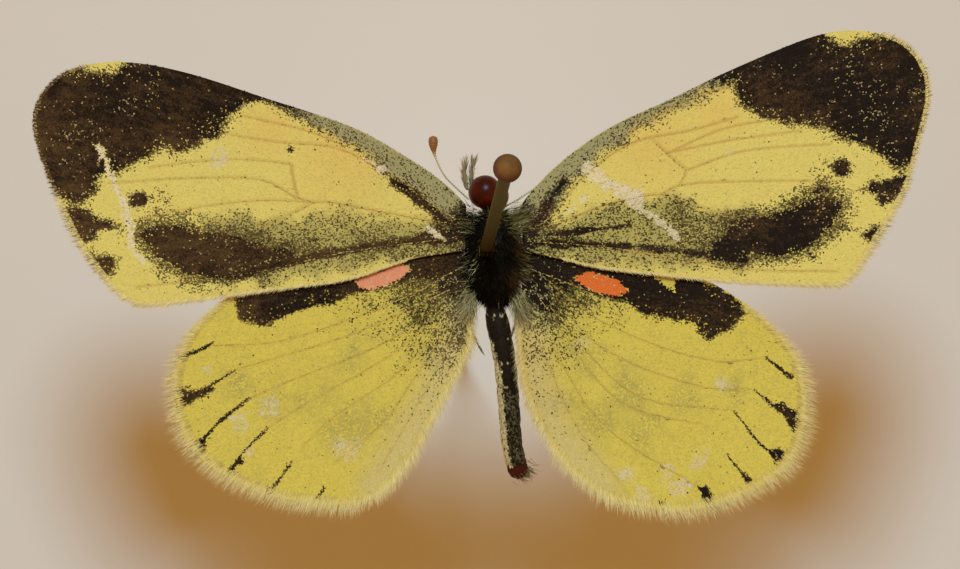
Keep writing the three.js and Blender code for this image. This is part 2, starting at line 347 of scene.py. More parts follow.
def piece(name, points, faces, finish, slot, *nodes, attributes=None, cells=None, smooth=True):
    """An object from arrays of points in metres and triangles, riding on the body."""
    points, faces = np.asarray(points, np.float32), np.asarray(faces, np.int32)
    mesh = bpy.data.meshes.new(name)
    mesh.vertices.add(len(points))
    mesh.vertices.foreach_set("co", points.ravel())
    mesh.loops.add(faces.size)
    mesh.loops.foreach_set("vertex_index", faces.ravel())
    mesh.polygons.add(len(faces))
    starts = np.arange(len(faces), dtype=np.int32) * faces.shape[1]
    mesh.polygons.foreach_set("loop_start", starts)
    mesh.update(calc_edges=True)
    mesh.polygons.foreach_set("use_smooth", np.full(len(faces), smooth))
    for key, values in (attributes or {}).items():
        store(mesh, key, values)
    if cells is not None:
        layer = mesh.uv_layers.new(name="OFBake")
        layer.data.foreach_set("uv", np.asarray(cells, np.float32).ravel())
    made = bpy.data.objects.new(name, mesh)
    bpy.context.scene.collection.objects.link(made)
    return dress(made, finish, slot, *nodes)


def store(mesh, key, values):
    """Keeps a number for each point of a mesh."""
    layer = mesh.attributes.new(key, "FLOAT", "POINT")
    layer.data.foreach_set("value", np.asarray(values, np.float32))


def coat(name, shape, finish, slot, tone, cell, extra=None):
    """Many small copies as one piece: each has its own values and its own cell of the UV map."""
    points, faces = shape
    number = len(tone["grain"])
    each = {key: np.repeat(values, len(points) // number) for key, values in tone.items()}
    side = math.ceil(math.sqrt(number))
    index = np.arange(number)
    corner = np.stack([index % side, index // side], 1) / side
    inner = 0.1 + 0.8 * np.asarray(cell)
    cells = corner[:, None, :] + inner[None, :, :] / side
    return piece(name, points, faces, finish, slot, attributes={**each, **(extra or {})},
                 cells=cells.reshape(-1, 2), smooth=False)


def many(shape, faces, starts, along, across, up, sizes):
    """Copies of a small shape, whose points are (length, width, height) shares of each size."""
    shape = np.asarray(shape, float)
    points = (
        starts[:, None, :]
        + shape[None, :, 0, None] * (along * sizes[:, 0:1])[:, None, :]
        + shape[None, :, 1, None] * (across * sizes[:, 1:2])[:, None, :]
        + shape[None, :, 2, None] * (up * sizes[:, 2:3])[:, None, :]
    )
    offsets = np.arange(len(starts))[:, None, None] * len(shape)
    return points.reshape(-1, 3), (np.asarray(faces)[None] + offsets).reshape(-1, 3)


def unit(vectors):
    return vectors / np.maximum(np.linalg.norm(vectors, axis=-1, keepdims=True), 1e-12)


def smooth_line(points, steps=6):
    """Points on a centripetal curve through the given ones."""
    points = np.asarray(points, float)
    if len(points) < 3:
        return points
    ends = np.vstack([2 * points[0] - points[1], points, 2 * points[-1] - points[-2]])
    line = []
    for near in zip(ends, ends[1:], ends[2:], ends[3:]):
        spans = [max(np.linalg.norm(b - a), 1e-9) ** 0.5 for a, b in zip(near, near[1:])]
        knots = np.cumsum([0, *spans])
        for t in np.linspace(knots[1], knots[2], steps, endpoint=False):
            level = list(near)
            for wide in (1, 2):
                level = [blend(level[i], level[i + 1], knots[i], knots[i + wide], t)
                         for i in range(len(level) - 1)]
            line.append(blend(*level, knots[1], knots[2], t))
    return np.array([*line, points[-1]])


def blend(first, second, low, high, t):
    return first + (second - first) * ((t - low) / (high - low))


def eased(value, low, high):
    """0 at low and 1 at high, eased."""
    share = np.clip((value - low) / (high - low), 0, 1)
    return share * share * (3 - 2 * share)


def distance_to(line, points):
    """Least distance from each point to a line of points in the plane, and how far along it."""
    line, points = np.asarray(line, float), np.asarray(points, float)
    starts, steps = line[:-1], np.diff(line, axis=0)
    spans = np.maximum((steps**2).sum(1), 1e-12)
    away = points[:, None, :] - starts[None]
    share = np.clip((away * steps[None]).sum(2) / spans[None], 0, 1)
    gaps = np.linalg.norm(away - share[..., None] * steps[None], axis=2)
    nearest = gaps.argmin(1)
    rows = np.arange(len(points))
    return gaps[rows, nearest], (nearest + share[rows, nearest]) / len(steps)


def depth_in(outline, points):
    """Distance to a closed outline, positive inside it."""
    outline = np.asarray(outline, float)
    ring = np.vstack([outline, outline[:1]])
    gap, _ = distance_to(ring, points)
    x, y = points[:, 0:1], points[:, 1:2]
    (x0, y0), (x1, y1) = ring[:-1].T, ring[1:].T
    rise = np.where(y1 == y0, 1e-12, y1 - y0)
    crosses = ((y0 > y) != (y1 > y)) & (x < x0 + (y - y0) * (x1 - x0) / rise)
    return np.where(crosses.sum(1) % 2 == 1, gap, -gap)


# A smooth random field repeats after this many of its features
FIELD_CELLS = 64


def drift(points, size, field, index=0):
    """Smooth random field between -1 and 1 with features of one size."""
    rng = np.random.default_rng(FIELDS[field] + index)
    table = rng.uniform(-1, 1, (FIELD_CELLS, FIELD_CELLS))
    place = np.asarray(points, float) / size
    cell = np.floor(place).astype(int)
    share = place - cell
    share = share * share * (3 - 2 * share)
    total = 0.0
    for step in ((0, 0), (0, 1), (1, 0), (1, 1)):
        across, up = (share[:, i] if step[i] else 1 - share[:, i] for i in (0, 1))
        corner = (cell + step) % FIELD_CELLS
        total = total + across * up * table[corner[:, 0], corner[:, 1]]
    return total


# A hair has three sides and one joint: the share of its length and of its width at each ring
HAIR_RINGS = ((0, 1.0), (0.5, 0.8))
HAIR_SIDES = 3
HAIR_POINTS = HAIR_SIDES * len(HAIR_RINGS) + 1
HAIR_FACES = (
    (2, 1, 0), (0, 1, 4), (0, 4, 3), (1, 2, 5), (1, 5, 4),
    (2, 0, 3), (2, 3, 5), (3, 4, 6), (4, 5, 6), (5, 3, 6),
)
HAIR_CELL = ((0, 0), (1, 0), (0.5, 1)) * len(HAIR_FACES)

# A wing scale: a low shingle that is narrow at its root, as shares of length, width and lift
SCALE_SHAPE = ((0, 0, 0), (0.7, -0.5, 0.5), (1, 0, 1), (0.7, 0.5, 0.5))
SCALE_FACES = ((0, 1, 2), (0, 2, 3), (1, 0, 3), (1, 3, 2))
SCALE_CELL = [
    (0.45 * SCALE_SHAPE[i][0] + (0.55 if {1, 3} <= set(face) else 0), SCALE_SHAPE[i][1] + 0.5)
    for face in SCALE_FACES
    for i in face
]


def hairs(starts, ways, lengths, widths, bends, rng):
    """Closed three-sided hairs with one joint, each bent sideways by its own vector."""
    side = unit(np.cross(ways, rng.normal(size=ways.shape)))
    over = np.cross(ways, side)
    rings = []
    for share, thick in HAIR_RINGS:
        middle = starts + ways * lengths[:, None] * share + bends * share**2
        for corner in range(HAIR_SIDES):
            turn = corner * math.tau / HAIR_SIDES
            reach = side * math.cos(turn) + over * math.sin(turn)
            rings.append(middle + reach * (widths * thick / 2)[:, None])
    points = np.stack([*rings, starts + ways * lengths[:, None] + bends], 1)
    faces = np.array(HAIR_FACES)[None] + np.arange(len(starts))[:, None, None] * HAIR_POINTS
    return points.reshape(-1, 3), faces.reshape(-1, 3)


def tube(points, radii, sides):
    """A closed round tube of triangles along points in space."""
    points = np.asarray(points, float)
    ways = unit(np.gradient(points, axis=0))
    upright = np.array([0, 0, 1.0]) if abs(ways[0][2]) < 0.9 else np.array([1.0, 0, 0])
    across = unit(np.cross(ways, upright))
    over = np.cross(across, ways)
    turn = np.linspace(0, math.tau, sides, endpoint=False)
    rings = points[:, None] + np.asarray(radii)[:, None, None] * (
        across[:, None] * np.cos(turn)[None, :, None] - over[:, None] * np.sin(turn)[None, :, None]
    )
    verts = np.vstack([rings.reshape(-1, 3), points[:1], points[-1:]])
    around = [(i, (i + 1) % sides) for i in range(sides)]
    faces = []
    for a in range(0, (len(points) - 1) * sides, sides):
        b = a + sides
        for i, j in around:
            faces += [(a + i, a + j, b + j), (a + i, b + j, b + i)]
    last = (len(points) - 1) * sides
    for i, j in around:
        faces += [(len(verts) - 2, j, i), (len(verts) - 1, last + i, last + j)]
    return verts, np.array(faces)


def joined(parts):
    """Several sets of points and faces as one."""
    points, faces, start = [], [], 0
    for some, corners in parts:
        points.append(some)
        faces.append(np.asarray(corners) + start)
        start += len(some)
    return np.vstack(points), np.vstack(faces)


# Markings of each wing in millimetres, seen from above with the head towards +Y

FOREWING_LEFT = {
    "root": (-0.2, 0.9),
    "base": 1.7,
    "worn": ((-14, 3.6), 1.9),
    "solids": [
        ([(-8, 4.85), (-6.9, 4.75), (-6, 4.45), (-5.5, 4.7), (-6.7, 5.8), (-8, 6)], -0.3, 0.25),
        ([(-6.8, 4.95), (-7.85, 4.6), (-8.65, 4), (-8.75, 3.65), (-9.65, 3.2), (-10.85, 3.1),
          (-11.05, 2.85), (-11.95, 2.25), (-12.15, 2.35), (-12.75, 1.75), (-13.1, 1.35),
          (-13.9, 1.4), (-15.3, 1.6), (-15.4, 4.7), (-13.9, 6.05), (-13.4, 5.75), (-12, 5.75),
          (-11.2, 6.6), (-6.7, 5.6)], -0.3, 0.1),
        ([(-14.3, 1.1), (-13.2, 1.2), (-12.75, 1), (-12.5, 0.7), (-11.95, 0.65), (-12.4, 0.5),
          (-12.65, 0.2), (-12.95, 0), (-13.9, 0.1)], -0.16, 0.1),
        ([(-13.2, -0.2), (-12.4, -0.5), (-11.5, -0.55), (-11.95, -0.8), (-12.2, -1.1),
          (-12.9, -1.1)], -0.18, 0.12),
        ([(-11.45, 0.5), (-10.7, 0.9), (-9.6, 0.95), (-8.8, 0.5), (-7.25, 0.3), (-6.15, -0.25),
          (-7.55, -0.9), (-8.85, -1.3), (-9.75, -1.2), (-10.8, -0.6), (-11.4, 0.2)], -0.42, 0.2),
    ],
    "discs": [((-11.2, 1.45), 0.34, 0.95), ((-10.6, 1.45), 0.5, 0.3), ((-6.28, 3.3), 0.12, 0.9)],
    "rubs": [((-8.58, 2.86), 0.3)],
    "dust": [(-9.25, 0.9), (-7.35, 0.9), (-5.4, 1), (-2.8, 1.05), (-0.5, 0.85), (-0.5, -0.3),
             (-2.95, -0.35), (-4.4, -0.6), (-7.15, -1.15), (-8.75, -1.25)],
    "lines": [([(-8.2, -1.0), (-6, -0.4), (-4.75, -0.1), (-2.15, 0.35), (-0.5, 0.5)], 0.24),
              ([(-2.95, 2.24), (-2.35, 1.84), (-1.75, 1.4), (-1.15, 0.95)], 0.24)],
    "band": [(-7.3, 4.9), (-6.05, 4.25), (-4.35, 3.45), (-3.1, 2.35), (-1.3, 1.15), (-0.5, 1),
             (-0.4, 2.2), (-3.45, 4.6), (-6.7, 5.6)],
    "warm": [((-4.6, 3.0), 2.6), ((-7, 3.9), 1.5)],
    "scratches": [
        ([(-12.5, 3.2), (-12.05, 2.1), (-11.65, 1.2), (-11.5, 0.65), (-11.3, -0.25),
          (-10.95, -0.65)], 0.11, 0.8),
        ([(-3.85, 2.95), (-3.3, 2.65)], 0.05, 0.4),
        ([(-1.9, 0.8), (-1.3, 0.45)], 0.07, 0.5),
    ],
    "veins": [
        [(-12.15, 2), (-9.3, 2.25), (-7.1, 2.2), (-6.05, 1.65), (-5.45, 1.55)],
        [(-11.55, 0.7), (-9.9, 1.15), (-7.35, 1.55), (-5.45, 1.55)],
        [(-7.25, 0.7), (-6.05, 1.25), (-5.45, 1.55), (-3.45, 1.3), (-1.3, 0.95), (-0.4, 0.9)],
        [(-8.6, 3.75), (-6.55, 3.5), (-4.8, 3.35), (-3.05, 2.45), (-1.1, 1.15), (-0.4, 1)],
        [(-10.9, 2.55), (-9.3, 2.8), (-7.7, 2.9), (-6.3, 2.8)],
        [(-6.3, 2.8), (-6.2, 2.2), (-6.05, 1.65)],
        [(-7.85, 4.35), (-5.75, 3.9), (-4.6, 3.45)],
        [(-11.2, -1.4), (-7.5, -0.85), (-4.5, -0.1), (-0.5, 0.5)],
    ],
}
FOREWING_RIGHT = {
    "root": (0.9, 0.9),
    "base": 1.35,
    "worn": ((9.6, 5.4), 1.2),
    "rubs": [((7.9, 3.3), 0.25)],
    "solids": [
        ([(6.7, 5.75), (8.2, 5.8), (8.4, 5), (9.05, 4.5), (10.25, 4.4), (11.35, 4), (12.3, 3.65),
          (13.1, 3.1), (13.35, 2.85), (15.2, 2.9), (15.3, 6.15), (13.75, 8.1), (12.95, 7.3),
          (12.05, 7.05), (11.25, 7.2), (10.75, 8.2), (8, 7.4)], -0.3, 0.1),
        ([(11.95, 2.1), (12.75, 2.45), (13.3, 2.65), (14.3, 2.8), (14.2, 2.2), (13.45, 1.8),
          (12.85, 1.65), (12.65, 1.95)], -0.16, 0.1),
        ([(11.4, 0.95), (12.35, 0.7), (13.3, 1.25), (13.2, 0.65), (12.4, 0.4)], -0.18, 0.12),
        ([(9.95, 1.8), (10.9, 2.25), (11.8, 1.9), (11.9, 1.55), (11.45, 0.75), (10.7, 0),
          (9.5, -0.4), (7.35, -0.15), (7.1, 0.3), (8.3, 1.3)], -0.42, 0.2),
    ],
    "discs": [((11.6, 2.85), 0.38, 0.95), ((11, 2.75), 0.5, 0.25)],
    "dust": [(8.8, 1.6), (7.15, 1.55), (5.7, 1.75), (4.05, 1.55), (3.1, 1.3), (1.2, 0.55),
             (1.2, -0.4), (5.7, -0.35), (8.3, -0.4)],
    "lines": [([(1.2, 0.35), (5.05, 0.2), (8.45, -0.25)], 0.2),
              ([(1.6, 0.55), (3.75, 0.8), (5.05, 0.95)], 0.12),
              ([(2.45, 2.3), (2.05, 1.7), (1.7, 1.1), (1.45, 0.62)], 0.36)],
    "band": [(1.6, 0.65), (2.3, 1.4), (2.85, 2.35), (4.25, 3.55), (6.1, 4.8), (7.75, 5.5),
             (8.2, 7.0), (3.75, 5.1), (0.7, 1.9), (1.0, 0.9)],
    "warm": [((5.4, 3.6), 2.4), ((7.6, 4.7), 1.5)],
    "scratches": [
        ([(2.66, 1.32), (2.89, 1.55), (3.12, 1.76), (3.35, 1.93)], 0.04, 0.4),
        ([(3.3, 2.75), (3.8, 2.35), (4.35, 2.05), (4.95, 1.9)], 0.2, 0.75),
        ([(4.6, 1.65), (5.55, 1.15), (6.2, 0.5)], 0.1, 0.75),
    ],
    "veins": [
        [(11.65, 2.4), (8.65, 2.4), (6.3, 2.25), (5.7, 1.95)],
        [(11.25, 3.65), (8.35, 3.4), (6.5, 2.75)],
        [(0.9, 0.75), (1.95, 0.85), (3.9, 1.6), (5.7, 1.95), (6.65, 1.65), (7.65, 1.35),
         (9.5, 1.2)],
        [(9.5, 4.5), (7.75, 4.15), (5.95, 3.35)],
        [(8.2, 4.55), (6.7, 4.1), (4.75, 3.65), (3.15, 2.5), (1.85, 0.95), (0.9, 0.8)],
        [(5.4, 3.8), (6.25, 3), (6.5, 2.75), (6.3, 2.25)],
        [(10.3, 4.1), (7.85, 3.75), (5.95, 3.35)],
        [(8.3, 5.7), (6.4, 5), (4.55, 3.9)],
        [(11.4, -0.6), (8, -0.5), (4.5, 0.1), (1.0, 0.4)],
    ],
}
HINDWING_LEFT = {
    "root": (-0.2, 0.2),
    "solids": [
        ([(-8.15, -1.6), (-7.95, -2.25), (-7.25, -2.55), (-6.5, -2.25), (-5.3, -1.85), (-4, -1.45),
          (-2.75, -1), (-1.95, -0.75), (-0.4, -0.7), (-0.4, 0.6), (-2.75, 0.6),
          (-6, -0.6)], -0.14, 0.1),
        ([(-9.98, -4.8), (-9.93, -5.2), (-9.79, -5.6), (-9.5, -5.3), (-9.1, -5.03), (-8.66, -4.6),
          (-9.3, -4.74)], -0.12, 0.05),
        ([(-9.34, -6.4), (-9.27, -6.68), (-9.05, -6.74), (-8.9, -6.3), (-9.2, -6.27)], -0.09, 0.04),
        ([(-8.6, -7.2), (-8.26, -7.3), (-8.0, -7.45), (-8.1, -7.2), (-7.9, -6.95), (-8.2, -7.12)],
         -0.09, 0.04),
        ([(-7.1, -7.86), (-6.85, -7.98), (-6.7, -7.92), (-6.75, -7.75)], -0.07, 0.04),
    ],
    "blobs": [
        [(-8.75, -3.15), (-9.1, -3.35), (-9.75, -3.65)],
        [(-8, -4), (-9.2, -4.8), (-9.7, -5.1), (-9.9, -5.5)],
        [(-7.6, -4.95), (-8.55, -5.75), (-9.15, -6.5), (-9.2, -6.6)],
        [(-7, -5.9), (-7.9, -6.9), (-8.15, -7.35)],
        [(-6.2, -7.0), (-6.7, -7.7), (-6.9, -7.95)],
        [(-5.15, -7.75), (-5.35, -8.15)],
    ],
    "discs": [((-5.35, -8.12), 0.09, 0.9)],
    "oval": [(-4.15, -1), (-3.4, -0.65), (-2.6, -0.4), (-2.35, -0.6), (-2.9, -1), (-3.6, -1.25),
             (-4.0, -1.22)],
    "base": 5.2,
    "inner": [(-3.2, -7.85), (-1.6, -5.25), (-0.45, -2.9), (-0.5, -1.2)],
    "greens": [((-8, -4.4), 0.8), ((-6.8, -4.9), 0.9), ((-4.6, -5.9), 1.4), ((-3.3, -5.4), 1.1),
               ((-1.6, -3.4), 0.9), ((-4.2, -3.4), 1.0), ((-5.6, -4.9), 0.9)],
    "rubs": [((-8.9, -4.0), 0.3), ((-7.9, -5.8), 0.3), ((-4.5, -6.5), 0.55), ((-6.9, -5.1), 0.35),
             ((-7.6, -6.7), 0.3)],
    "veins": [
        [(-1.15, -1.25), (-4.4, -2.8), (-8, -4)],
        [(-1.3, -1.6), (-3.1, -2.95), (-6.3, -4.35), (-7.6, -4.95)],
        [(-1.45, -1.95), (-3.1, -3.45), (-5.65, -5), (-7, -5.9)],
        [(-1.3, -2.25), (-2.75, -3.95), (-5, -5.6), (-5.9, -6.5)],
        [(-1.15, -2.4), (-2.25, -4.1), (-3.25, -5.6), (-4.85, -7)],
        [(-0.9, -2.25), (-1.6, -3.9), (-3.4, -7.25)],
        [(-0.6, -0.4), (-2.75, -1.6), (-6.65, -3.05), (-8.75, -3.25)],
    ],
}
HINDWING_RIGHT = {
    "root": (0.9, 0.2),
    "solids": [
        ([(1.2, -0.3), (3.1, -0.3), (3.1, 0.6), (6.5, -0.3), (7.4, -1.05), (8.3, -1.65),
          (8.5, -1.95), (7.9, -2.55), (7.35, -2.75), (6.6, -2.35), (5.3, -1.95), (4, -1.5),
          (2.95, -1), (1.95, -0.7), (1.2, -0.6)], -0.14, 0.1),
        ([(9.2, -4.95), (9.55, -4.9), (9.97, -5.09), (10.13, -5.36), (10.08, -5.75), (9.92, -5.69),
          (9.75, -5.42), (9.43, -5.15)], -0.11, 0.05),
        ([(9.62, -6.52), (9.5, -6.74), (9.33, -6.78), (9.22, -6.5)], -0.1, 0.04),
        ([(8.62, -7.38), (8.66, -7.5), (8.36, -7.56), (8.33, -7.28)], -0.09, 0.04),
        ([(6.99, -7.72), (7.25, -8.0), (7.08, -8.03)], -0.08, 0.04),
    ],
    "blobs": [
        [(9.05, -3.4), (9.85, -4.05)],
        [(8.65, -4.45), (9.35, -5.05), (9.85, -5.4), (9.95, -5.8)],
        [(8, -5.15), (8.8, -6.2), (9.35, -6.65)],
        [(7.75, -6.58), (8.17, -7.12), (8.44, -7.45)],
        [(6.85, -7.65), (7.15, -8.0)],
    ],
    "discs": [((5.65, -8.2), 0.1, 0.9)],
    "oval": [(2.85, -0.8), (3.4, -0.6), (4.2, -0.8), (4.6, -1.2), (4.3, -1.42), (3.5, -1.2)],
    "notch": [(5.5, -0.75), (6.2, -0.8), (6.1, -1.25), (5.8, -1.05)],
    "base": 4.8,
    "inner": [(3.4, -7.7), (1.85, -5.8), (1.16, -3.6), (1.2, -1.3)],
    "greens": [((3.3, -3.4), 1.1), ((5.0, -5.9), 1.2), ((3.6, -5.6), 1.2), ((6.7, -4.8), 1.0),
               ((8.1, -4.6), 0.7), ((4.4, -4.4), 1.2), ((2.4, -4.8), 0.9)],
    "rubs": [((4.49, -7.26), 0.55), ((5.77, -7.14), 0.36), ((6.89, -6.75), 0.32),
             ((6.3, -7.68), 0.26), ((5.02, -7.9), 0.3), ((3.3, -3.0), 0.34), ((7.6, -4.3), 0.36)],
    "veins": [
        [(1.8, -0.7), (3.75, -2.2), (7.3, -3.5), (9.05, -3.4)],
        [(1.95, -1.05), (3.75, -3.05), (6.95, -4.35), (8.65, -4.45)],
        [(1.95, -1.4), (3.4, -3.35), (5, -4.7), (8, -5.15)],
        [(1.8, -1.55), (4.35, -4.85), (6.95, -5.6)],
        [(1.6, -1.9), (3.7, -5.5), (6.85, -7.65)],
        [(1.45, -2.2), (3.05, -5.85), (4.35, -7.5)],
        [(1.4, -0.5), (2.45, -0.9), (4.15, -1.5)],
    ],
}
MARKINGS = {
    "forewing_left": FOREWING_LEFT,
    "forewing_right": FOREWING_RIGHT,
    "hindwing_left": HINDWING_LEFT,
    "hindwing_right": HINDWING_RIGHT,
}

# All lengths here are in millimetres, and shares go from 0 to 1
TINTS = ("warm", "olive", "costa", "pale", "vein", "spot", "bare")
# How far the edge of a marking wanders, over what length
EDGE_WANDER = ((0.14, 0.55, "edge"), (0.08, 0.2, "fine edge"))
# Share of light scales along the edge of a dark marking, and how far in they reach
MIXED, MIXED_DEPTH = 0.1, 0.6
# The forewings' lower bars hold more of them: where the bars lie on the wing, and that share
BARS_BELOW, BARS_WITHIN, BARS_MIXED = 2.0, 12.0, 0.28
# Where the darkening next to the body starts to fade, and where it ends
NEAR_BODY = {"fore": (0.4, 2.1), "hind": (0.2, 1.2)}
# How much coarser the mottle of a wing is, and how clearly its veins show
COARSE, VEINS_CLEAR = {"fore": 1, "hind": 1.7}, {"fore": 1, "hind": 0.5}
# How worn the black is, and the share of pale scales in a wing's orange spot
WORN, SPOT_FLECKS = {"left": 0.22, "right": -0.02}, {"left": 0.045, "right": 0.02}
# Shapes that clear the black, with the softness of their edges
CLEARINGS = (("oval", 0.07), ("notch", 0.1))
# Share of the scales that are missing all over a wing
SCALES_LOST = 0.01
# The millimetres that one radian round the wing's root counts as, for patterns along its rays
RAY_WIDTH = 30


class Pattern:
    """What each scale of a wing shows at its place, as shares, and which scales are lost."""

    def __init__(self, name, at, rng):
        self.marks, self.at, self.rng = MARKINGS[name], at, rng
        self.pair, self.side = name[:4], name.split("_")[1]
        self.chance = rng.random(len(at))
        self.wander = sum(far * drift(at, size, field) for far, size, field in EDGE_WANDER)
        self.dark = np.zeros(len(at))
        self.tone = {key: np.zeros(len(at)) for key in TINTS}
        self.black_markings()
        if self.pair == "fore":
            self.dust_and_band()
        self.near_body()
        self.tints()
        if self.pair == "hind":
            self.inner_margin()
        self.rubs_and_scratches()
        self.veins_and_spots()
        self.wear()

    def each(self, key):
        return self.marks.get(key, ())

    def darken(self, share):
        """Adds black scales to those that are there."""
        self.dark = 1 - (1 - self.dark) * (1 - np.clip(share, 0, 1))

    def tint(self, key, share):
        """Raises a tint to this share where it is less."""
        self.tone[key] = np.maximum(self.tone[key], share)

    def some(self, share):
        """A random choice of this share of the scales."""
        return self.rng.random(len(self.at)) < share

    def random(self, low, high):
        return self.rng.uniform(low, high, len(self.at))

    def reach(self, centre):
        return np.linalg.norm(self.at - centre, axis=1)

    def gap(self, line):
        return distance_to(smooth_line(line), self.at)

    def black_markings(self):
        at, wander = self.at, self.wander
        bars = (at[:, 1] < BARS_BELOW) & (np.abs(at[:, 0]) < BARS_WITHIN) & (self.pair == "fore")
        light = np.where(bars, BARS_MIXED, MIXED)
        for outline, low, high in self.marks["solids"]:
            inside = depth_in(outline, at)
            rim = light * (1 - eased(inside, 0, MIXED_DEPTH))
            self.darken(eased(inside + wander, low, high) * (1 - rim))
        for centre, radius, share in self.marks["discs"]:
            reach = self.reach(centre) + wander * 0.5
            self.darken(share * (1 - eased(reach, radius * 0.5, radius * 1.25)))
        for line, width in self.each("lines"):
            gap, _ = self.gap(line)
            self.darken(0.85 * (1 - eased(gap + wander * 0.6, width * 0.2, width)))
        for line in self.each("blobs"):
            gap, along = self.gap(line)
            width = 0.035 + 0.05 * along**3
            heavy = 0.95 * eased(along, -0.7, 0.25)
            self.darken(heavy * (1 - eased(gap + wander * 0.2, width * 0.6, width * 1.7)))

    def dust_and_band(self):
        """The forewing's olive zone and the grey band along its front edge."""
        inside = depth_in(self.marks["dust"], self.at) + self.wander * 2
        self.tone["olive"] = eased(inside, -0.35, 0.3)
        self.darken(self.tone["olive"] * (0.5 + 0.22 * drift(self.at, 0.8, "dust")))
        inside = depth_in(self.marks["band"], self.at) + self.wander
        self.tone["costa"] = eased(inside, -0.12, 0.3)
        self.darken(eased(inside, -0.3, 0.1) * (0.5 - 0.32 * eased(inside, 0.15, 0.6)))

    def near_body(self):
        """Black scales that get fewer away from the wing's root."""
        reach = self.reach(self.marks["root"]) + self.wander * 4
        near = 1 - eased(reach, self.marks["base"] * 0.3, self.marks["base"])
        self.darken(0.88 * near**0.95 + 0.004)
        patchy = 0.5 + 0.5 * np.clip(drift(self.at, 0.25, "near body"), -1, 1)
        self.darken(0.85 * patchy * (1 - eased(reach, *NEAR_BODY[self.pair])))
        self.tint("olive", 0.85 * near)

    def tints(self):
        for centre, radius in self.each("warm"):
            self.tint("warm", 1 - eased(self.reach(centre), 0, radius * 1.1))
        for centre, radius in self.each("greens"):
            reach = self.reach(centre) + self.wander * 2 + 0.25 * drift(self.at, 0.5, "greens")
            self.tint("olive", 0.85 * ((1 - eased(reach, 0, radius)) * self.some(0.6)))
        coarse = COARSE[self.pair]
        mottle = self.some((0.14 + 0.12 * drift(self.at, 0.6, "mottle")) * coarse)
        self.tint("olive", mottle * self.random(0.1, 0.35 * coarse))

    def inner_margin(self):
        """The hindwing's pale and slightly dusted edge beside the abdomen."""
        gap, _ = distance_to(self.marks["inner"], self.at)
        near = 1 - eased(gap, 0.3, 1.4)
        self.tone["pale"] = 0.5 * near * self.random(0.4, 1)
        self.tint("olive", 0.25 * (1 - eased(gap, 0.4, 1.5)))
        self.darken(0.1 * near * eased(self.at[:, 1], -7, -3.5))

    def rubs_and_scratches(self):
        for centre, radius in self.each("rubs"):
            reach = self.reach(centre) + self.wander * 1.6
            self.tint("pale", (1 - eased(reach, radius * 0.3, radius)) * self.some(0.5))
        self.lost = self.some(SCALES_LOST)
        for line, width, share in self.each("scratches"):
            gap, _ = self.gap(line)
            ragged = (gap + 0.1 * drift(self.at, 0.12, "scratch")
                      + 0.05 * drift(self.at, 0.4, "broad scratch"))
            core = 1 - eased(ragged, width * 0.7, width * 1.4)
            self.lost |= self.some(core * share * 0.3)
            self.tint("bare", core * self.random(0.3, 1))
            self.dark = self.dark * (1 - core * 0.9)

    def veins_and_spots(self):
        for line in self.marks["veins"]:
            gap, _ = self.gap(line)
            self.tint("vein", VEINS_CLEAR[self.pair] * (1 - eased(gap, 0.02, 0.08)))
        for key, edge in CLEARINGS:
            if key in self.marks:
                inside = depth_in(self.marks[key], self.at) + self.wander * 0.3
                inside = eased(inside, -edge, edge * 0.6)
                self.dark = self.dark * (1 - self.some(inside))
                if key == "oval":
                    self.tone["spot"] = (inside > 0.4).astype(float)
        if "oval" in self.marks:
            spot = self.tone["spot"]
            flecks = spot * self.some(SPOT_FLECKS[self.side])
            self.tone["pale"] = np.maximum(self.tone["pale"] * (1 - spot), flecks * 0.8)

    def wear(self):
        """Which scales are black, how worn they are, and the glints among them."""
        tone, at = self.tone, self.at
        black = self.chance < self.dark
        away = at - self.marks["root"]
        turn = np.arctan2(away[:, 1], away[:, 0]) * RAY_WIDTH
        polar = np.stack([np.linalg.norm(away, axis=1), turn], 1)
        rays = drift(polar, 0.16, "rays") + 0.6 * drift(at, 0.9, "broad rays")
        glint = self.some(0.008 + 0.32 * eased(rays, 0.58, 1.05))
        faint = np.where(self.dark > 0.85, 1, self.random(0.62, 1))
        tone["dark"] = black * np.where(glint, self.random(0.25, 0.8), faint)
        tone["dark"] += ~black * eased(self.dark, 0.55, 0.95) * self.random(0.05, 0.6)
        self.tint("warm", glint & black)
        self.tint("pale", (glint & black) * self.random(0, 0.8))
        worn = (WORN[self.side] + 0.3 * drift(at, 1.1, "worn")
                + 0.25 * drift(polar, 0.3, "worn rays"))
        if self.pair == "fore":
            centre, radius = self.marks["worn"]
            worn += 0.15 * (at[:, 1] < BARS_BELOW)
            worn += 0.15 * (1 - eased(self.reach(centre), radius * 0.4, radius))
        tone["worn"] = np.clip(worn + self.rng.normal(0, 0.16, len(at)), 0, 1)
        tone["grain"] = self.rng.random(len(at))
        if self.pair == "hind":
            grain = tone["grain"] * 1.3 - 0.3 + 0.25 * drift(at, 0.18, "grain")
            tone["grain"] = np.clip(grain, -1, 1)


# Building the wings

# Half the thickness of a wing's CAD plate, and how near two points are that become one
PLATE_HALF, MERGE_WITHIN = 0.05 * MM, 0.001 * MM
# Height of a dried wing's waves, and how wide they are in millimetres
RUFFLE_HEIGHT, RUFFLE_SIZE = 0.03 * MM, 1.7
# Points between two of the rim's own when a scale's distance to the rim is measured
RIM_STEPS = 8
# Rows of scales are rings round the wing's root, out to this radius and over this share of a turn
WING_REACH, WING_TURN, FIRST_ROW = 16.0, 0.7, 3
# Rays on to a wing from above start at this height
RAY_TOP = 30 * MM
# Each wing's rim with the outward direction along it, as its membrane's step found them
RIMS = {}


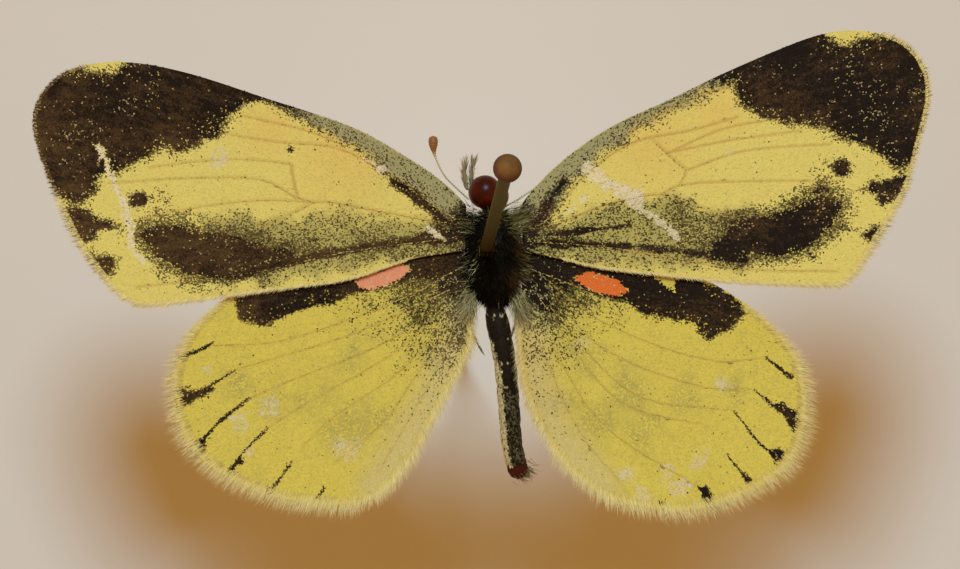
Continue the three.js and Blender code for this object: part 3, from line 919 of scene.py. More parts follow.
def wing_sheet(name):
    """A wing's middle surface: its CAD plate's upper grid, merged, rounded and lowered."""
    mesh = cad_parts[name].data.copy()
    made = bpy.data.objects.new(f"{name}_membrane", mesh)
    bpy.context.scene.collection.objects.link(made)
    only(made)
    bpy.ops.object.mode_set(mode="EDIT")
    bpy.ops.mesh.select_all(action="SELECT")
    bpy.ops.mesh.remove_doubles(threshold=MERGE_WITHIN)
    bpy.ops.mesh.tris_convert_to_quads(face_threshold=math.pi, shape_threshold=math.pi)
    pick_faces(made, lambda face: face.normal.z < 0.5)
    bpy.ops.mesh.delete(type="FACE")
    bpy.ops.mesh.select_all(action="SELECT")
    bpy.ops.transform.translate(value=(0, 0, -PLATE_HALF))
    bpy.ops.object.mode_set(mode="OBJECT")
    rounding = made.modifiers.new("Rounding", "SUBSURF")
    rounding.levels = rounding.render_levels = 2
    bpy.ops.object.modifier_apply(modifier=rounding.name)
    return made


def ruffle_and_shade(made, name, index):
    """Gives a wing's sheet the slight waves of a dried wing, and how dark its markings are."""
    points = np.empty(len(made.data.vertices) * 3)
    made.data.vertices.foreach_get("co", points)
    points = points.reshape(-1, 3)
    at = points[:, :2] / MM
    points[:, 2] += RUFFLE_HEIGHT * drift(at, RUFFLE_SIZE, "ruffle", index)
    made.data.vertices.foreach_set("co", points.ravel())
    made.data.update()
    store(made.data, "share", Pattern(name, at, draws("shading")).dark)


def rim_of(made):
    """A sheet's rim in order, as points in metres, with the outward direction at each."""
    mesh = made.data
    edges, used = {}, {}
    for face in mesh.polygons:
        for edge in face.edge_keys:
            used[edge] = used.get(edge, 0) + 1
    for (a, b), times in used.items():
        if times == 1:
            edges.setdefault(a, []).append(b)
            edges.setdefault(b, []).append(a)
    start = last = next(iter(edges))
    line, here = [start], edges[start][0]
    while here != start:
        line.append(here)
        here, last = next(n for n in edges[here] if n != last), here
    points = np.array([mesh.vertices[i].co for i in line])
    after = np.roll(points, -1, 0)
    way = after - np.roll(points, 1, 0)
    turn = np.sum(points[:, 0] * after[:, 1] - after[:, 0] * points[:, 1])
    out = np.stack([way[:, 1], -way[:, 0], np.zeros(len(way))], 1) * np.sign(turn)
    return points, unit(out)


def rim_gap(name, at):
    """Distance in millimetres from each place to a wing's rim."""
    rim, _ = RIMS[name]
    steps = np.linspace(0, 1, RIM_STEPS, endpoint=False)[:, None, None]
    dense = (rim[None] * (1 - steps) + np.roll(rim, -1, 0)[None] * steps).reshape(-1, 3) / MM
    tree = KDTree(len(dense))
    for index, (x, y, _) in enumerate(dense):
        tree.insert((x, y, 0), index)
    tree.balance()
    return np.array([tree.find((x, y, 0))[2] for x, y in at])


def surface_of(name):
    made = bpy.data.objects.get(f"{name}_membrane")
    if made is None:
        raise RuntimeError("The wing membranes come before what lies on them")
    return BVHTree.FromObject(made, bpy.context.evaluated_depsgraph_get())


def cast(tree, at, up):
    """Where a vertical ray at each place in millimetres meets a wing from above or below."""
    start, way = (RAY_TOP, Vector((0, 0, -1))) if up else (0.0, Vector((0, 0, 1)))
    found = [tree.ray_cast(Vector((x * MM, y * MM, start)), way)[:2] for x, y in at]
    kept = np.array([point is not None for point, _ in found])
    hits = [hit for hit in found if hit[0] is not None]
    points, normals = (np.array(some) for some in zip(*hits))
    return kept, points, normals


def rows(name, row, spacing, rng):
    """Places in millimetres on rings round a wing's root."""
    root = np.array(MARKINGS[name]["root"])
    side = math.pi if "left" in name else 0.0
    places = []
    for ring in range(FIRST_ROW, int(WING_REACH / row)):
        radius = ring * row
        number = int(math.tau * WING_TURN * radius / spacing)
        share = (np.arange(number) + rng.random()) / number - 0.5
        turn = side + math.tau * WING_TURN * share
        places.append(root + radius * np.stack([np.cos(turn), np.sin(turn)], 1))
    places = np.vstack(places) + rng.uniform(-0.28, 0.28, (sum(map(len, places)), 2)) * spacing
    low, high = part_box(name)
    inside = ((places > np.array(low[:2]) / MM) & (places < np.array(high[:2]) / MM)).all(1)
    return places[inside], root


def scale_coat(name, row, spacing, sizes, up, rng):
    """Shingles over one side of a wing: their points and faces, and what each one shows."""
    at, root = rows(name, row, spacing, rng)
    pattern = Pattern(name, at, rng)
    tone, here = pattern.tone, np.flatnonzero(~pattern.lost)
    kept, points, normals = cast(surface_of(name), at[here], up)
    here = here[kept]
    clear = rim_gap(name, at[here]) > sizes[0] / MM * (0.35 if up else 0.8)
    here, points, normals = here[clear], points[clear], normals[clear]
    at, tone = at[here], {key: values[here] for key, values in tone.items()}
    away = at - root
    turn = np.arctan2(away[:, 1], away[:, 0]) + rng.normal(0, 0.16, len(at))
    flat = np.stack([np.cos(turn), np.sin(turn), np.zeros(len(at))], 1)
    normals = unit(normals) * np.where(normals[:, 2:] * (1 if up else -1) < 0, -1, 1)
    along = unit(flat - normals * (flat * normals).sum(1, keepdims=True))
    across = np.cross(normals, along)
    vary = rng.uniform(0.82, 1.18, (len(at), 3))
    vary[:, :2] *= np.where((tone["dark"] > 0) & (tone["dark"] < 0.9), 0.85, 1)[:, None]
    sizes = np.array(sizes) * vary
    return many(SCALE_SHAPE, SCALE_FACES, points, along, across, normals, sizes), tone


def membrane_finish(settings):
    """Bare wing: thin and yellowish, dark below the dark markings."""
    finish = Finish("wing membrane", Roughness=0.6, Specular_IOR_Level=0.1)
    streaks = finish.noise(900, detail=4)
    shade = finish.mix(streaks, settings.membrane, scaled(settings.membrane, 0.85))
    shade = finish.mix(finish.between(finish.attribute("share"), 0.3, 0.8), shade, settings.black)
    return finish.paint(Base_Color=shade, Normal=finish.bump(finish.noise(4000), 0.01, 0.5))


# The tints of the upper scales: each goes over the ones before it, by this share at most
SCALE_TINTS = (
    ("warm", "warm", 0.5), ("olive", "olive", 0.8), ("costa", "costa", 0.85),
    ("vein", "vein", 0.4), ("pale", "pale", 1), ("bare", "scratch", 1),
)
SCALE_MARKS = ("warm", "olive", "costa", "vein", "pale", "bare", "dark", "worn", "spot", "grain")


def scale_finish(name, settings):
    """Upper scales: yellow ground, its tints, then the dark and orange markings over it."""
    finish = Finish(f"{name} scales", Specular_IOR_Level=0.08)
    mark = {key: finish.attribute(key) for key in SCALE_MARKS}
    shade = settings.yellow if "fore" in name else settings.hind_yellow
    for key, tint, most in SCALE_TINTS:
        share = mark[key] if most == 1 else mark[key] * most
        shade = finish.mix(share, shade, getattr(settings, tint))
    black = finish.mix(mark["worn"], settings.black, settings.brown)
    shade = finish.mix(mark["dark"], shade, black)
    orange = settings.spot_left if "left" in name else settings.spot_right
    shade = finish.mix(mark["spot"] * (1 - mark["pale"]) * (1 - mark["dark"]), shade, orange)
    shade = finish.dim(shade, 0.95 + 0.1 * mark["grain"])
    return finish.paint(Base_Color=shade, Roughness=0.75 - 0.15 * mark["dark"] * mark["grain"])


def fringe_finish(name, settings):
    """Margin hairs: the wing's yellow at their roots, paler at their tips, some of them dark."""
    finish = Finish(f"{name} fringe", Roughness=0.6, Specular_IOR_Level=0.15)
    ground = settings.yellow if "fore" in name else settings.hind_yellow
    tip = 0.45 + 0.55 * finish.between(finish.attribute("reach"), 0.05, 0.7)
    shade = finish.mix(tip, ground, settings.fringe)
    shade = finish.dim(shade, 0.9 + 0.3 * finish.attribute("grain"))
    return finish.paint(Base_Color=finish.mix(finish.attribute("dark"), shade, settings.brown))


VEIN_REACH, VEIN_SIDES = 12, 5
# Lift of an upper scale's tip, and the length, width and lift of an underside scale
SCALE_LIFT = 0.012 * MM
UNDER_SIZES = (0.26 * MM, 0.17 * MM, 0.018 * MM)


class BUTTERFLY_OT_membranes(bpy.types.Operator):
    """Builds the four bare wings with their veins"""

    bl_idname = "butterfly.membranes"
    bl_label = "Wing Membranes"

    def execute(self, context):
        settings = context.scene.butterfly_wings
        material = membrane_finish(settings)
        for index, (name, marks) in enumerate(MARKINGS.items()):
            made = wing_sheet(name)
            ruffle_and_shade(made, name, index)
            RIMS[name] = rim_of(made)
            sheet = BVHTree.FromObject(made, context.evaluated_depsgraph_get())
            wall = made.modifiers.new("Wall", "SOLIDIFY")
            wall.thickness, wall.offset = settings.membrane_thickness, 0
            bpy.ops.object.modifier_apply(modifier=wall.name)
            tubes = []
            for line in marks["veins"]:
                _, points, _ = cast(sheet, smooth_line(line, 5), True)
                reach = np.linalg.norm(points[:, :2] / MM - marks["root"], axis=1)
                radii = settings.vein_radius * (1 - 0.6 * np.clip(reach / VEIN_REACH, 0, 1))
                tubes.append(tube(points, radii, VEIN_SIDES))
            only(made, piece(f"{name}_veins", *joined(tubes), material, "wing"))
            bpy.ops.object.join()
            for face in made.data.polygons:
                face.use_smooth = True
            dress(made, material, "wing", name)
        return {"FINISHED"}


class BUTTERFLY_OT_scales(bpy.types.Operator):
    """Lays the coloured scales over the wings, row by row"""

    bl_idname = "butterfly.scales"
    bl_label = "Upper Scales"

    def execute(self, context):
        settings = context.scene.butterfly_wings
        sizes = (settings.scale_length, settings.scale_width, SCALE_LIFT)
        row, spacing = settings.row_spacing / MM, settings.scale_spacing / MM
        for index, name in enumerate(MARKINGS):
            shape, tone = scale_coat(name, row, spacing, sizes, True, draws("scales", index))
            tone = {key: tone[key] for key in SCALE_MARKS}
            finish = scale_finish(name, settings)
            coat(f"{name}_scales", shape, finish, "wing", tone, SCALE_CELL)
        return {"FINISHED"}


class BUTTERFLY_OT_underscales(bpy.types.Operator):
    """Lays the plain, coarser scales below the wings"""

    bl_idname = "butterfly.underscales"
    bl_label = "Lower Scales"

    def execute(self, context):
        settings = context.scene.butterfly_wings
        finish = Finish("wing underside scales", Roughness=0.7, Specular_IOR_Level=0.1)
        shade = finish.mix(finish.attribute("dark") * 0.5, settings.underside, settings.brown)
        shade = finish.dim(shade, 0.85 + 0.3 * finish.attribute("grain"))
        material = finish.paint(Base_Color=shade)
        step = settings.under_spacing / MM
        for index, name in enumerate(MARKINGS):
            rng = draws("underscales", index)
            shape, tone = scale_coat(name, step, step * 0.9, UNDER_SIZES, False, rng)
            tone = {key: tone[key] for key in ("dark", "grain")}
            coat(f"{name}_underscales", shape, material, "wing", tone, SCALE_CELL)
        return {"FINISHED"}


# Distance between two hairs of the fringe, and how far their tips reach on each side's forewing
HAIR_GAP = 0.0045 * MM
FRINGE_TIP = {"left": 0.26, "right": 0.42}
# For each wing, a height on the wing in millimetres, and the shares of dark hairs above and below
FRINGE_DARK = {
    "forewing_left": (1.5, 0.85, 0.25),
    "forewing_right": (1.5, 0.12, 0.2),
    "hindwing_left": (0, 0.1, 0.06),
    "hindwing_right": (0, 0.1, 0.06),
}
# How deep in the margin the hairs start at most, in millimetres
FRINGE_ROOTS = {"fore": 0.1, "hind": 0.28}


def fringe_places(name, rng):
    """Where a wing's fringe hairs start, which way is out, and each hair's share of the length."""
    rim, out = RIMS[name]
    side = -1 if "left" in name else 1
    gaps = np.linalg.norm(np.roll(rim, -1, 0) - rim, axis=1)
    number = int(gaps.sum() / HAIR_GAP)
    spot = rng.choice(len(rim), number, p=gaps / gaps.sum())
    share = rng.random(number)[:, None]
    after = (spot + 1) % len(rim)
    starts = rim[spot] * (1 - share) + rim[after] * share
    ways = unit(out[spot] * (1 - share) + out[after] * share)
    x, y = starts[:, 0] / MM * side, starts[:, 1] / MM
    lateral = ways[:, 0] * side
    if "fore" in name:
        outer = (lateral > 0.25) & (x > 9)
        keep = outer | ((ways[:, 1] < -0.4) & (x > 2.5))
        tip = FRINGE_TIP[name.split("_")[1]] + 0.35 * eased(-y, -3, -0.5)
        reach = np.where(outer, tip, np.interp(x, (2.5, 6, 11), (0.25, 0.35, 0.75)))
    else:
        keep = (y < -1.4) & ((ways[:, 1] < 0.8) | (lateral < -0.2))
        reach = np.where(lateral < -0.3, 1.0, 0.3 + 0.85 * eased(-y, 1.4, 4.2))
    return starts[keep], ways[keep], reach[keep]


class BUTTERFLY_OT_fringe(bpy.types.Operator):
    """Sets the fringe along the margins and the long hair along the hindwings' inner edges"""

    bl_idname = "butterfly.fringe"
    bl_label = "Fringe"

    def execute(self, context):
        settings = context.scene.butterfly_wings
        for index, (name, marks) in enumerate(MARKINGS.items()):
            rng = draws("fringe", index)
            starts, ways, reach = fringe_places(name, rng)
            number = len(starts)
            away = starts - np.array([*marks["root"], 0]) * MM
            away[:, 2] = 0
            ways = unit(0.5 * ways + 0.75 * unit(away))
            ways = unit(ways + rng.normal(0, 0.13, (number, 3)) * (1, 1, 0.5))
            lengths = settings.fringe_length * reach * rng.uniform(0.5, 1.1, number)
            bends = rng.normal(0, 0.06, (number, 3)) * lengths[:, None]
            inside = rng.uniform(0.03, FRINGE_ROOTS[name[:4]], number)[:, None] * MM
            widths = rng.uniform(0.011, 0.02, number) * MM
            roots = starts - ways * inside + (0, 0, 0.016 * MM)
            shape = hairs(roots, ways, lengths, widths, bends, rng)
            pattern = Pattern(name, starts[:, :2] / MM - ways[:, :2] * 0.12, rng)
            height, above, below = FRINGE_DARK[name]
            share = np.where(starts[:, 1] / MM > height, above, below)
            tone = {"dark": pattern.tone["dark"] * (rng.random(number) < share),
                    "grain": rng.random(number)}
            extra = {"reach": np.tile((0, 0, 0, 0.5, 0.5, 0.5, 1), number)}
            finish = fringe_finish(name, settings)
            coat(f"{name}_fringe", shape, finish, "wing", tone, HAIR_CELL, extra)
        return {"FINISHED"}


# Floor, light and camera

# The photo's view: the place looked at, the way back from it to the camera, and the distance
VIEW_TARGET = Vector((-0.16304, -1.05267, 16.0)) * MM
VIEW_BACK = Vector((-0.05708, -0.21759, 0.97437)).normalized()
VIEW_DISTANCE = 150 * MM
VIEW_LENS, VIEW_SENSOR = 173.08, 36
VIEW_CLIP = (0.001, 10)
# Painted pool of light: the floor's colour is a little darker away from this place
FLOOR_PAINTED_LIGHT_CENTRE = (0, 6 * MM, 0)


class BUTTERFLY_OT_stage(bpy.types.Operator):
    """Adds the floor, the light and the camera"""

    bl_idname = "butterfly.stage"
    bl_label = "Floor, Light and Camera"

    def execute(self, context):
        settings = context.scene.butterfly_stage
        bpy.ops.mesh.primitive_plane_add(size=settings.floor_size)
        floor = context.object
        floor.name = "floor"
        finish = Finish("pale board", Roughness=0.9, Specular_IOR_Level=0.1)
        # Painted pool of light: the board's colour darkens with distance from one place, under a
        # faint even grain
        away = finish.away(FLOOR_PAINTED_LIGHT_CENTRE)
        fade = 1 - 0.3 * away * (away + 0.03) ** -1
        tone = finish.dim(tuple(settings.floor), fade * (0.985 + 0.03 * finish.noise(60, 3)))
        floor.data.materials.append(finish.paint(Base_Color=tone))

        world = bpy.data.worlds.new("soft room")
        world.use_nodes = True
        back = world.node_tree.nodes["Background"]
        back.inputs["Color"].default_value = (*settings.ambient, 1)
        back.inputs["Strength"].default_value = 1.0
        context.scene.world = world

        away = Vector((-math.sin(settings.key_lean), math.sin(settings.key_tilt),
                       math.cos(settings.key_tilt))).normalized()
        bpy.ops.object.light_add(type="AREA", location=VIEW_TARGET + away * settings.key_distance)
        lamp = context.object
        lamp.rotation_euler = (-away).to_track_quat("-Z", "Y").to_euler()
        lamp.data.shape, lamp.data.size = "DISK", settings.key_size
        # With this power the lamp's colour is the share of light that the floor gets from it
        lamp.data.energy = math.pi**2 * settings.key_distance**2
        lamp.data.color = settings.key

        right = Vector((0, 1, 0)).cross(VIEW_BACK).normalized()
        up = VIEW_BACK.cross(right)
        place = VIEW_TARGET + VIEW_BACK * VIEW_DISTANCE
        bpy.ops.object.camera_add()
        camera = context.object
        camera.matrix_world = Matrix(
            [(right[i], up[i], VIEW_BACK[i], place[i]) for i in range(3)] + [(0, 0, 0, 1)]
        )
        camera.data.lens, camera.data.sensor_width = VIEW_LENS, VIEW_SENSOR
        camera.data.clip_start, camera.data.clip_end = VIEW_CLIP
        context.scene.camera = camera
        context.scene.view_settings.view_transform = "Standard"
        return {"FINISHED"}


# Building the body, in millimetres

THORAX_CENTRE = np.array([0.33, -0.08, 15.9])
THORAX_RADII = np.array([0.79, 1.54, 0.85])
HEAD_CENTRE = np.array([0.113, 1.954, 16.062])
HEAD_LEFT = Vector((-0.66, 0.2, 0.72)).normalized()
# The dome of an eye is cut one row of faces below its widest ring
EYE_RADIUS, EYE_BULGE, EYE_OFFSET = 0.55, 0.5, 0.21
EYE_ROWS, EYE_SEGMENTS = 32, 56
ABDOMEN_LINE = [
    (0.26, -1.68, 15.85), (0.4, -2.18, 15.78), (0.54, -2.8, 15.65), (0.67, -3.43, 15.45),
    (0.76, -4.05, 15.2), (0.9, -5.24, 14.55), (1.0, -5.95, 14.08), (1.3, -6.96, 13.4),
]
ABDOMEN_RADIUS, ABDOMEN_RINGS, ABDOMEN_SIDES, ABDOMEN_STEPS = 0.365, 7, 36, 150
# Where along the abdomen its rings start, and the share of it that they take
RINGS_START, RINGS_SHARE = 0.05, 0.85
# Points along the abdomen's line, the stretch of them with scales, and the tip hair's place and way
ABDOMEN_POINTS, ABDOMEN_SCALED, ABDOMEN_TIP = 200, (3, 177), (188, 190)
ABDOMEN_SCALES, ABDOMEN_SCALE_SIZES, ABDOMEN_HAIRS = 4200, (0.15, 0.09, 0.02), 240
ANTENNA_LINES = {
    "left": [(-0.5, 1.92, 15.45), (-0.96, 2.3, 15.62), (-1.3, 2.61, 15.78), (-1.53, 2.99, 15.9),
             (-1.67, 3.37, 16.0), (-1.71, 3.87, 16.15)],
    "right": [(0.62, 1.66, 15.42), (1.07, 1.9, 15.55), (1.5, 2.18, 15.6), (1.99, 2.54, 15.6),
              (2.56, 2.87, 15.55), (2.9, 3.1, 15.5)],
}
ANTENNA_PROFILE = ((0, 0.02), (0.01, 0.03), (0.7, 0.028), (0.78, 0.06), (0.87, 0.14), (0.93, 0.165),
                   (0.98, 0.135), (1, 0.03))
ANTENNA_RINGS, ANTENNA_STEPS, ANTENNA_SIDES = 30, 8, 14
PALP_LINES = {
    "left": [(-0.56, 2.2, 15.6), (-0.67, 2.7, 15.75), (-0.65, 3.14, 15.9)],
    "right": [(-0.34, 2.25, 15.35), (-0.42, 2.75, 15.55), (-0.36, 3.24, 15.72)],
}
PALP_PROFILE = ((0, 0.03), (0.1, 0.06), (0.4, 0.065), (0.75, 0.045), (1, 0.012))
PALP_STEPS, PALP_SIDES, LEG_STEPS, LEG_SIDES = 24, 14, 90, 12
PROBOSCIS_CENTRE = np.array([-0.3, 2.2, 14.95])
PROBOSCIS_TURNS, PROBOSCIS_POINTS, PROBOSCIS_SPREAD = 2.4, 110, (0.055, 0.185)
PROBOSCIS_RADII, PROBOSCIS_SIDES = (0.016, 0.03), 10
LEG_LINES = {
    "fore": [(0.08, 0.95, 15.14), (-0.5, 1.2, 14.8), (-0.46, 0.45, 14.45), (-0.52, -0.3, 14.25)],
    "mid": [(0.02, -0.45, 14.92), (-0.75, -0.15, 14.75), (-0.72, -1.05, 14.45),
            (-0.62, -1.9, 14.3)],
    "hind": [(0.1, -0.95, 15.02), (-0.45, -1.1, 14.95), (-0.4, -2.1, 14.75), (-0.15, -2.75, 14.6),
             (0.05, -3.05, 14.5)],
}
LEG_PROFILE = (
    (0, 0.04), (0.02, 0.06), (0.12, 0.066), (0.26, 0.055), (0.3, 0.038), (0.4, 0.045), (0.6, 0.038),
    (0.65, 0.026), (0.74, 0.03), (0.76, 0.022), (0.86, 0.026), (0.88, 0.019), (0.98, 0.022),
    (1, 0.01),
)
# Short hair on a limb: how many, the points along its line with the first and last that have any,
# its lean, least and greatest length and width, and where its roots are, as shares of a profile
LEG_HAIR = {
    "number": 190, "points": (100, 2, 98), "lean": 0.5, "lengths": (0.06, 0.16),
    "widths": (0.01, 0.018), "profile": LEG_PROFILE, "deep": 0.8,
}
PALP_HAIR = {
    "number": 130, "points": (60, 0, 60), "lean": 0.3, "lengths": (0.12, 0.34),
    "widths": (0.014, 0.028), "profile": ((0, 0.05), (1, 0.05)), "deep": 1,
}
PIN_TOP, PIN_POINT, PIN_RADIUS, PIN_TIP = 26.93, -10.16, 0.2, 1.6
# The ground point's steps: how far down each one goes, and how much narrower it gets
PIN_STEPS = ((0.55, 0.72), (0.6, 0.55), (0.4, 0.3))
PIN_HEAD_CENTRE, PIN_HEAD_RADIUS, PIN_NECK = 27.4, 0.44, 0.03
# Edges sharper than these, in degrees, stay sharp
PIN_SHARP, EYE_SHARP = 40, 50
# Each tuft: place, spread, way, length, number of hairs, and its brown, olive and pale shares
TUFTS = {
    "head_fur": ((0.12, 1.72, 16.1), (0.3, 0.16, 0.25), (0.1, 0.4, 0.9), 0.3, 420, (0, 0.8, 0.35)),
    "brow_fur": ((-0.3, 2.2, 15.6), (0.2, 0.18, 0.15), (-0.3, 1, 0.3), 0.35, 260, (0.2, 0.3, 0.4)),
    "shoulder_fur_left": (
        (-0.35, 0.9, 16.2), (0.2, 0.42, 0.1), (-1, 0.1, 0.25), 0.5, 520, (0, 0.2, 0.12)),
    "shoulder_fur_right": (
        (0.95, 1.0, 16.2), (0.22, 0.4, 0.1), (1, 0.4, 0.3), 0.55, 620, (0.2, 0.8, 0.2)),
    "side_fur_left": (
        (-0.38, -0.5, 16.1), (0.16, 0.5, 0.12), (-1, -0.5, 0.2), 0.5, 520, (0.1, 0.1, 0.12)),
    # This tuft's brown share is painted warm shade on the thorax's right side
    "side_fur_right": (
        (1.05, -0.4, 16.1), (0.16, 0.5, 0.12), (1, -0.5, 0.2), 0.5, 520, (0.7, 0.2, 0.1)),
    "base_fur_left": (
        (-0.42, -1.5, 15.95), (0.16, 0.4, 0.08), (-0.6, -1, 0.1), 0.95, 520, (0, 0.3, 0.8)),
    "base_fur_right": (
        (1.0, -1.5, 15.95), (0.14, 0.4, 0.08), (0.45, -1, 0.1), 0.95, 520, (0.1, 0.3, 0.75)),
    "waist_fur": (
        (0.32, -1.5, 15.95), (0.28, 0.25, 0.2), (0.05, -1, 0.15), 0.4, 420, (0.1, 0, 0.04)),
    "pin_fur": ((0.02, 0.05, 16.66), (0.3, 0.3, 0.06), (0.1, -0.35, 1), 0.55, 320, (0.15, 0.25, 0)),
}
FUR_TINTS = ("brown", "olive", "pale")


def along_line(line, number):
    """Evenly spaced points on a smooth line, with the share of the line at each."""
    fine = smooth_line(line, 24)
    reach = np.concatenate([[0], np.cumsum(np.linalg.norm(np.diff(fine, axis=0), axis=1))])
    share = np.linspace(0, 1, number)
    return np.stack([np.interp(share * reach[-1], reach, fine[:, i]) for i in range(3)], 1), share


def ways_along(points):
    return unit(np.gradient(points, axis=0))


def limb(line, profile, number, sides):
    """A round limb along a line, its radius from (share, radius) pairs, as points and faces."""
    points, share = along_line(line, number)
    radii = np.interp(share, *zip(*profile))
    return tube(points * MM, radii * MM, sides)


def hair_coat(name, starts, ways, lengths, widths, material, slot, rng, tone=None):
    """Hair at places in millimetres, as one piece. Widths are the least and the greatest."""
    number = len(starts)
    widths = rng.uniform(*widths, number) * MM
    bends = rng.normal(0, 0.12, (number, 3)) * lengths[:, None] * MM
    shape = hairs(starts * MM, unit(ways), lengths * MM, widths, bends, rng)
    tone = {"grain": rng.random(number), **(tone or {})}
    return coat(name, shape, material, slot, tone, HAIR_CELL)


def hair_along(name, line, material, slot, rng, hair):
    """Short hair that leans along a limb."""
    total, first, last = hair["points"]
    middle, share = along_line(line, total)
    number = hair["number"]
    spot = rng.integers(first, last, number)
    ways = ways_along(middle)[spot]
    out = unit(np.cross(ways, rng.normal(size=(number, 3))))
    radii = np.interp(share[spot], *zip(*hair["profile"]))
    starts = middle[spot] + out * radii[:, None] * hair["deep"]
    lengths = rng.uniform(*hair["lengths"], number)
    ways = ways + out * hair["lean"]
    hair_coat(name, starts, ways, lengths, hair["widths"], material, slot, rng)


def round_fields(at, *fields):
    """Greatest share of soft round fields (x, y, radius) at places in the plane."""
    share = np.zeros(len(at))
    for x, y, radius in fields:
        reach = np.hypot(at[:, 0] - x, at[:, 1] - y)
        share = np.maximum(share, 1 - eased(reach, radius * 0.5, radius))
    return share


def fur_finish(settings):
    """Body hair: black, with brown, olive and pale tufts; the brown on the thorax's right side is
    painted warm shade.
    """
    finish = Finish("body fur", Roughness=0.6, Specular_IOR_Level=0.06)
    shade = settings.fur_black
    for tint in FUR_TINTS:
        shade = finish.mix(finish.attribute(tint), shade, getattr(settings, f"fur_{tint}"))
    return finish.paint(Base_Color=finish.dim(shade, 0.6 + 0.8 * finish.attribute("grain")))


class BUTTERFLY_OT_thorax(bpy.types.Operator):
    """Finishes the thorax and covers it with hair"""

    bl_idname = "butterfly.thorax"
    bl_label = "Thorax"

    def execute(self, context):
        settings, rng = context.scene.butterfly_body, draws("thorax")
        skin = skin_finish("thorax skin", settings.fur_black)
        for name in ("thorax", "head"):
            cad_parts[name].data.materials.clear()
            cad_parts[name].data.materials.append(skin)
        ball = unit(rng.normal(size=(settings.fur_count, 3)))
        starts = THORAX_CENTRE + ball * THORAX_RADII * 0.97
        outward = unit(ball / THORAX_RADII)
        by_pin = (np.hypot(starts[:, 0], starts[:, 1]) < PIN_RADIUS) & (ball[:, 2] > 0)
        starts, outward = starts[~by_pin], outward[~by_pin]
        number = len(starts)
        ways = outward + (0, -0.75, 0) + rng.normal(0, 0.28, (number, 3))
        ways[:, 2] *= 0.6
        lengths = settings.fur_length / MM * rng.uniform(0.5, 1.1, number)
        ends = starts[:, :2] + rng.normal(0, 0.12, (number, 2))
        # Painted shade: brown hair on the thorax's right side stands for the warm shade there
        brown = round_fields(ends, (1.25, 0.1, 0.6), (1.1, -0.9, 0.6))
        olive = round_fields(ends, (1.1, 1.1, 0.75), (0.3, 1.6, 0.5))
        pale = round_fields(ends, (-0.4, 1.2, 0.35), (-0.5, -0.5, 0.35))
        tone = {
            "brown": brown * 0.8,
            "olive": olive * (rng.random(number) < 0.8),
            "pale": pale * (rng.random(number) < 0.45),
        }
        hair_coat("thorax_fur", starts, ways, lengths, (0.018, 0.034), fur_finish(settings),
                  "body_fur", rng, tone)
        return {"FINISHED"}


class BUTTERFLY_OT_tufts(bpy.types.Operator):
    """Adds the hair of the head, the shoulders and the hindwings' bases"""

    bl_idname = "butterfly.tufts"
    bl_label = "Tufts"

    def execute(self, context):
        settings, rng = context.scene.butterfly_body, draws("tufts")
        material = fur_finish(settings)
        for name, (place, spread, way, reach, number, shares) in TUFTS.items():
            starts = np.array(place) + rng.normal(0, 0.5, (number, 3)) * spread
            ways = unit(np.array([way])) + rng.normal(0, 0.3, (number, 3))
            tone = {key: (rng.random(number) < share) * rng.uniform(0.6, 1, number)
                    for key, share in zip(FUR_TINTS, shares)}
            lengths = reach * rng.uniform(0.5, 1.1, number)
            hair_coat(name, starts, ways, lengths, (0.012, 0.022), material, "body_fur", rng, tone)
        return {"FINISHED"}


def abdomen_profile():
    """The abdomen's radius along it: a narrow waist, its rings and a blunt tip."""
    profile = [(0, 0.16), (0.01, 0.24)]
    step = RINGS_SHARE / ABDOMEN_RINGS
    for ring in range(ABDOMEN_RINGS):
        start = RINGS_START + ring * RINGS_SHARE / ABDOMEN_RINGS
        full = ABDOMEN_RADIUS * (1 - 0.14 * start)
        profile += [(start, full * 0.92), (start + step * 0.3, full), (start + step * 0.88, full)]
    return profile + [(0.905, 0.31), (0.94, 0.34), (0.975, 0.28), (1, 0.08)]


def abdomen_skin(settings):
    """Wrinkled dark skin with a red-brown tip."""
    finish = Finish("abdomen skin", Roughness=0.55, Specular_IOR_Level=0.08)
    wrinkle = finish.noise(9000, 4)
    tip = finish.between(finish.attribute("reach"), 0.86, 0.89)
    shade = finish.mix(tip, settings.abdomen_dark, settings.abdomen_tip)
    return finish.paint(Base_Color=finish.dim(shade, 0.7 + 0.6 * wrinkle),
                        Normal=finish.bump(wrinkle, 0.01, 0.6))


def abdomen_scale_finish(settings):
    """Dark scales, pale on the flank, and reddish on the right side, which is painted warm shade.
    """
    finish = Finish("abdomen scales", Roughness=0.6, Specular_IOR_Level=0.1)
    # Painted shade: the red-brown share on the right side stands for warm shade
    shade = finish.mix(finish.attribute("red") * 0.7, settings.abdomen_dark, settings.abdomen_tip)
    shade = finish.mix(finish.attribute("pale"), shade, settings.abdomen_pale)
    return finish.paint(Base_Color=finish.dim(shade, 0.7 + 0.6 * finish.attribute("grain")))


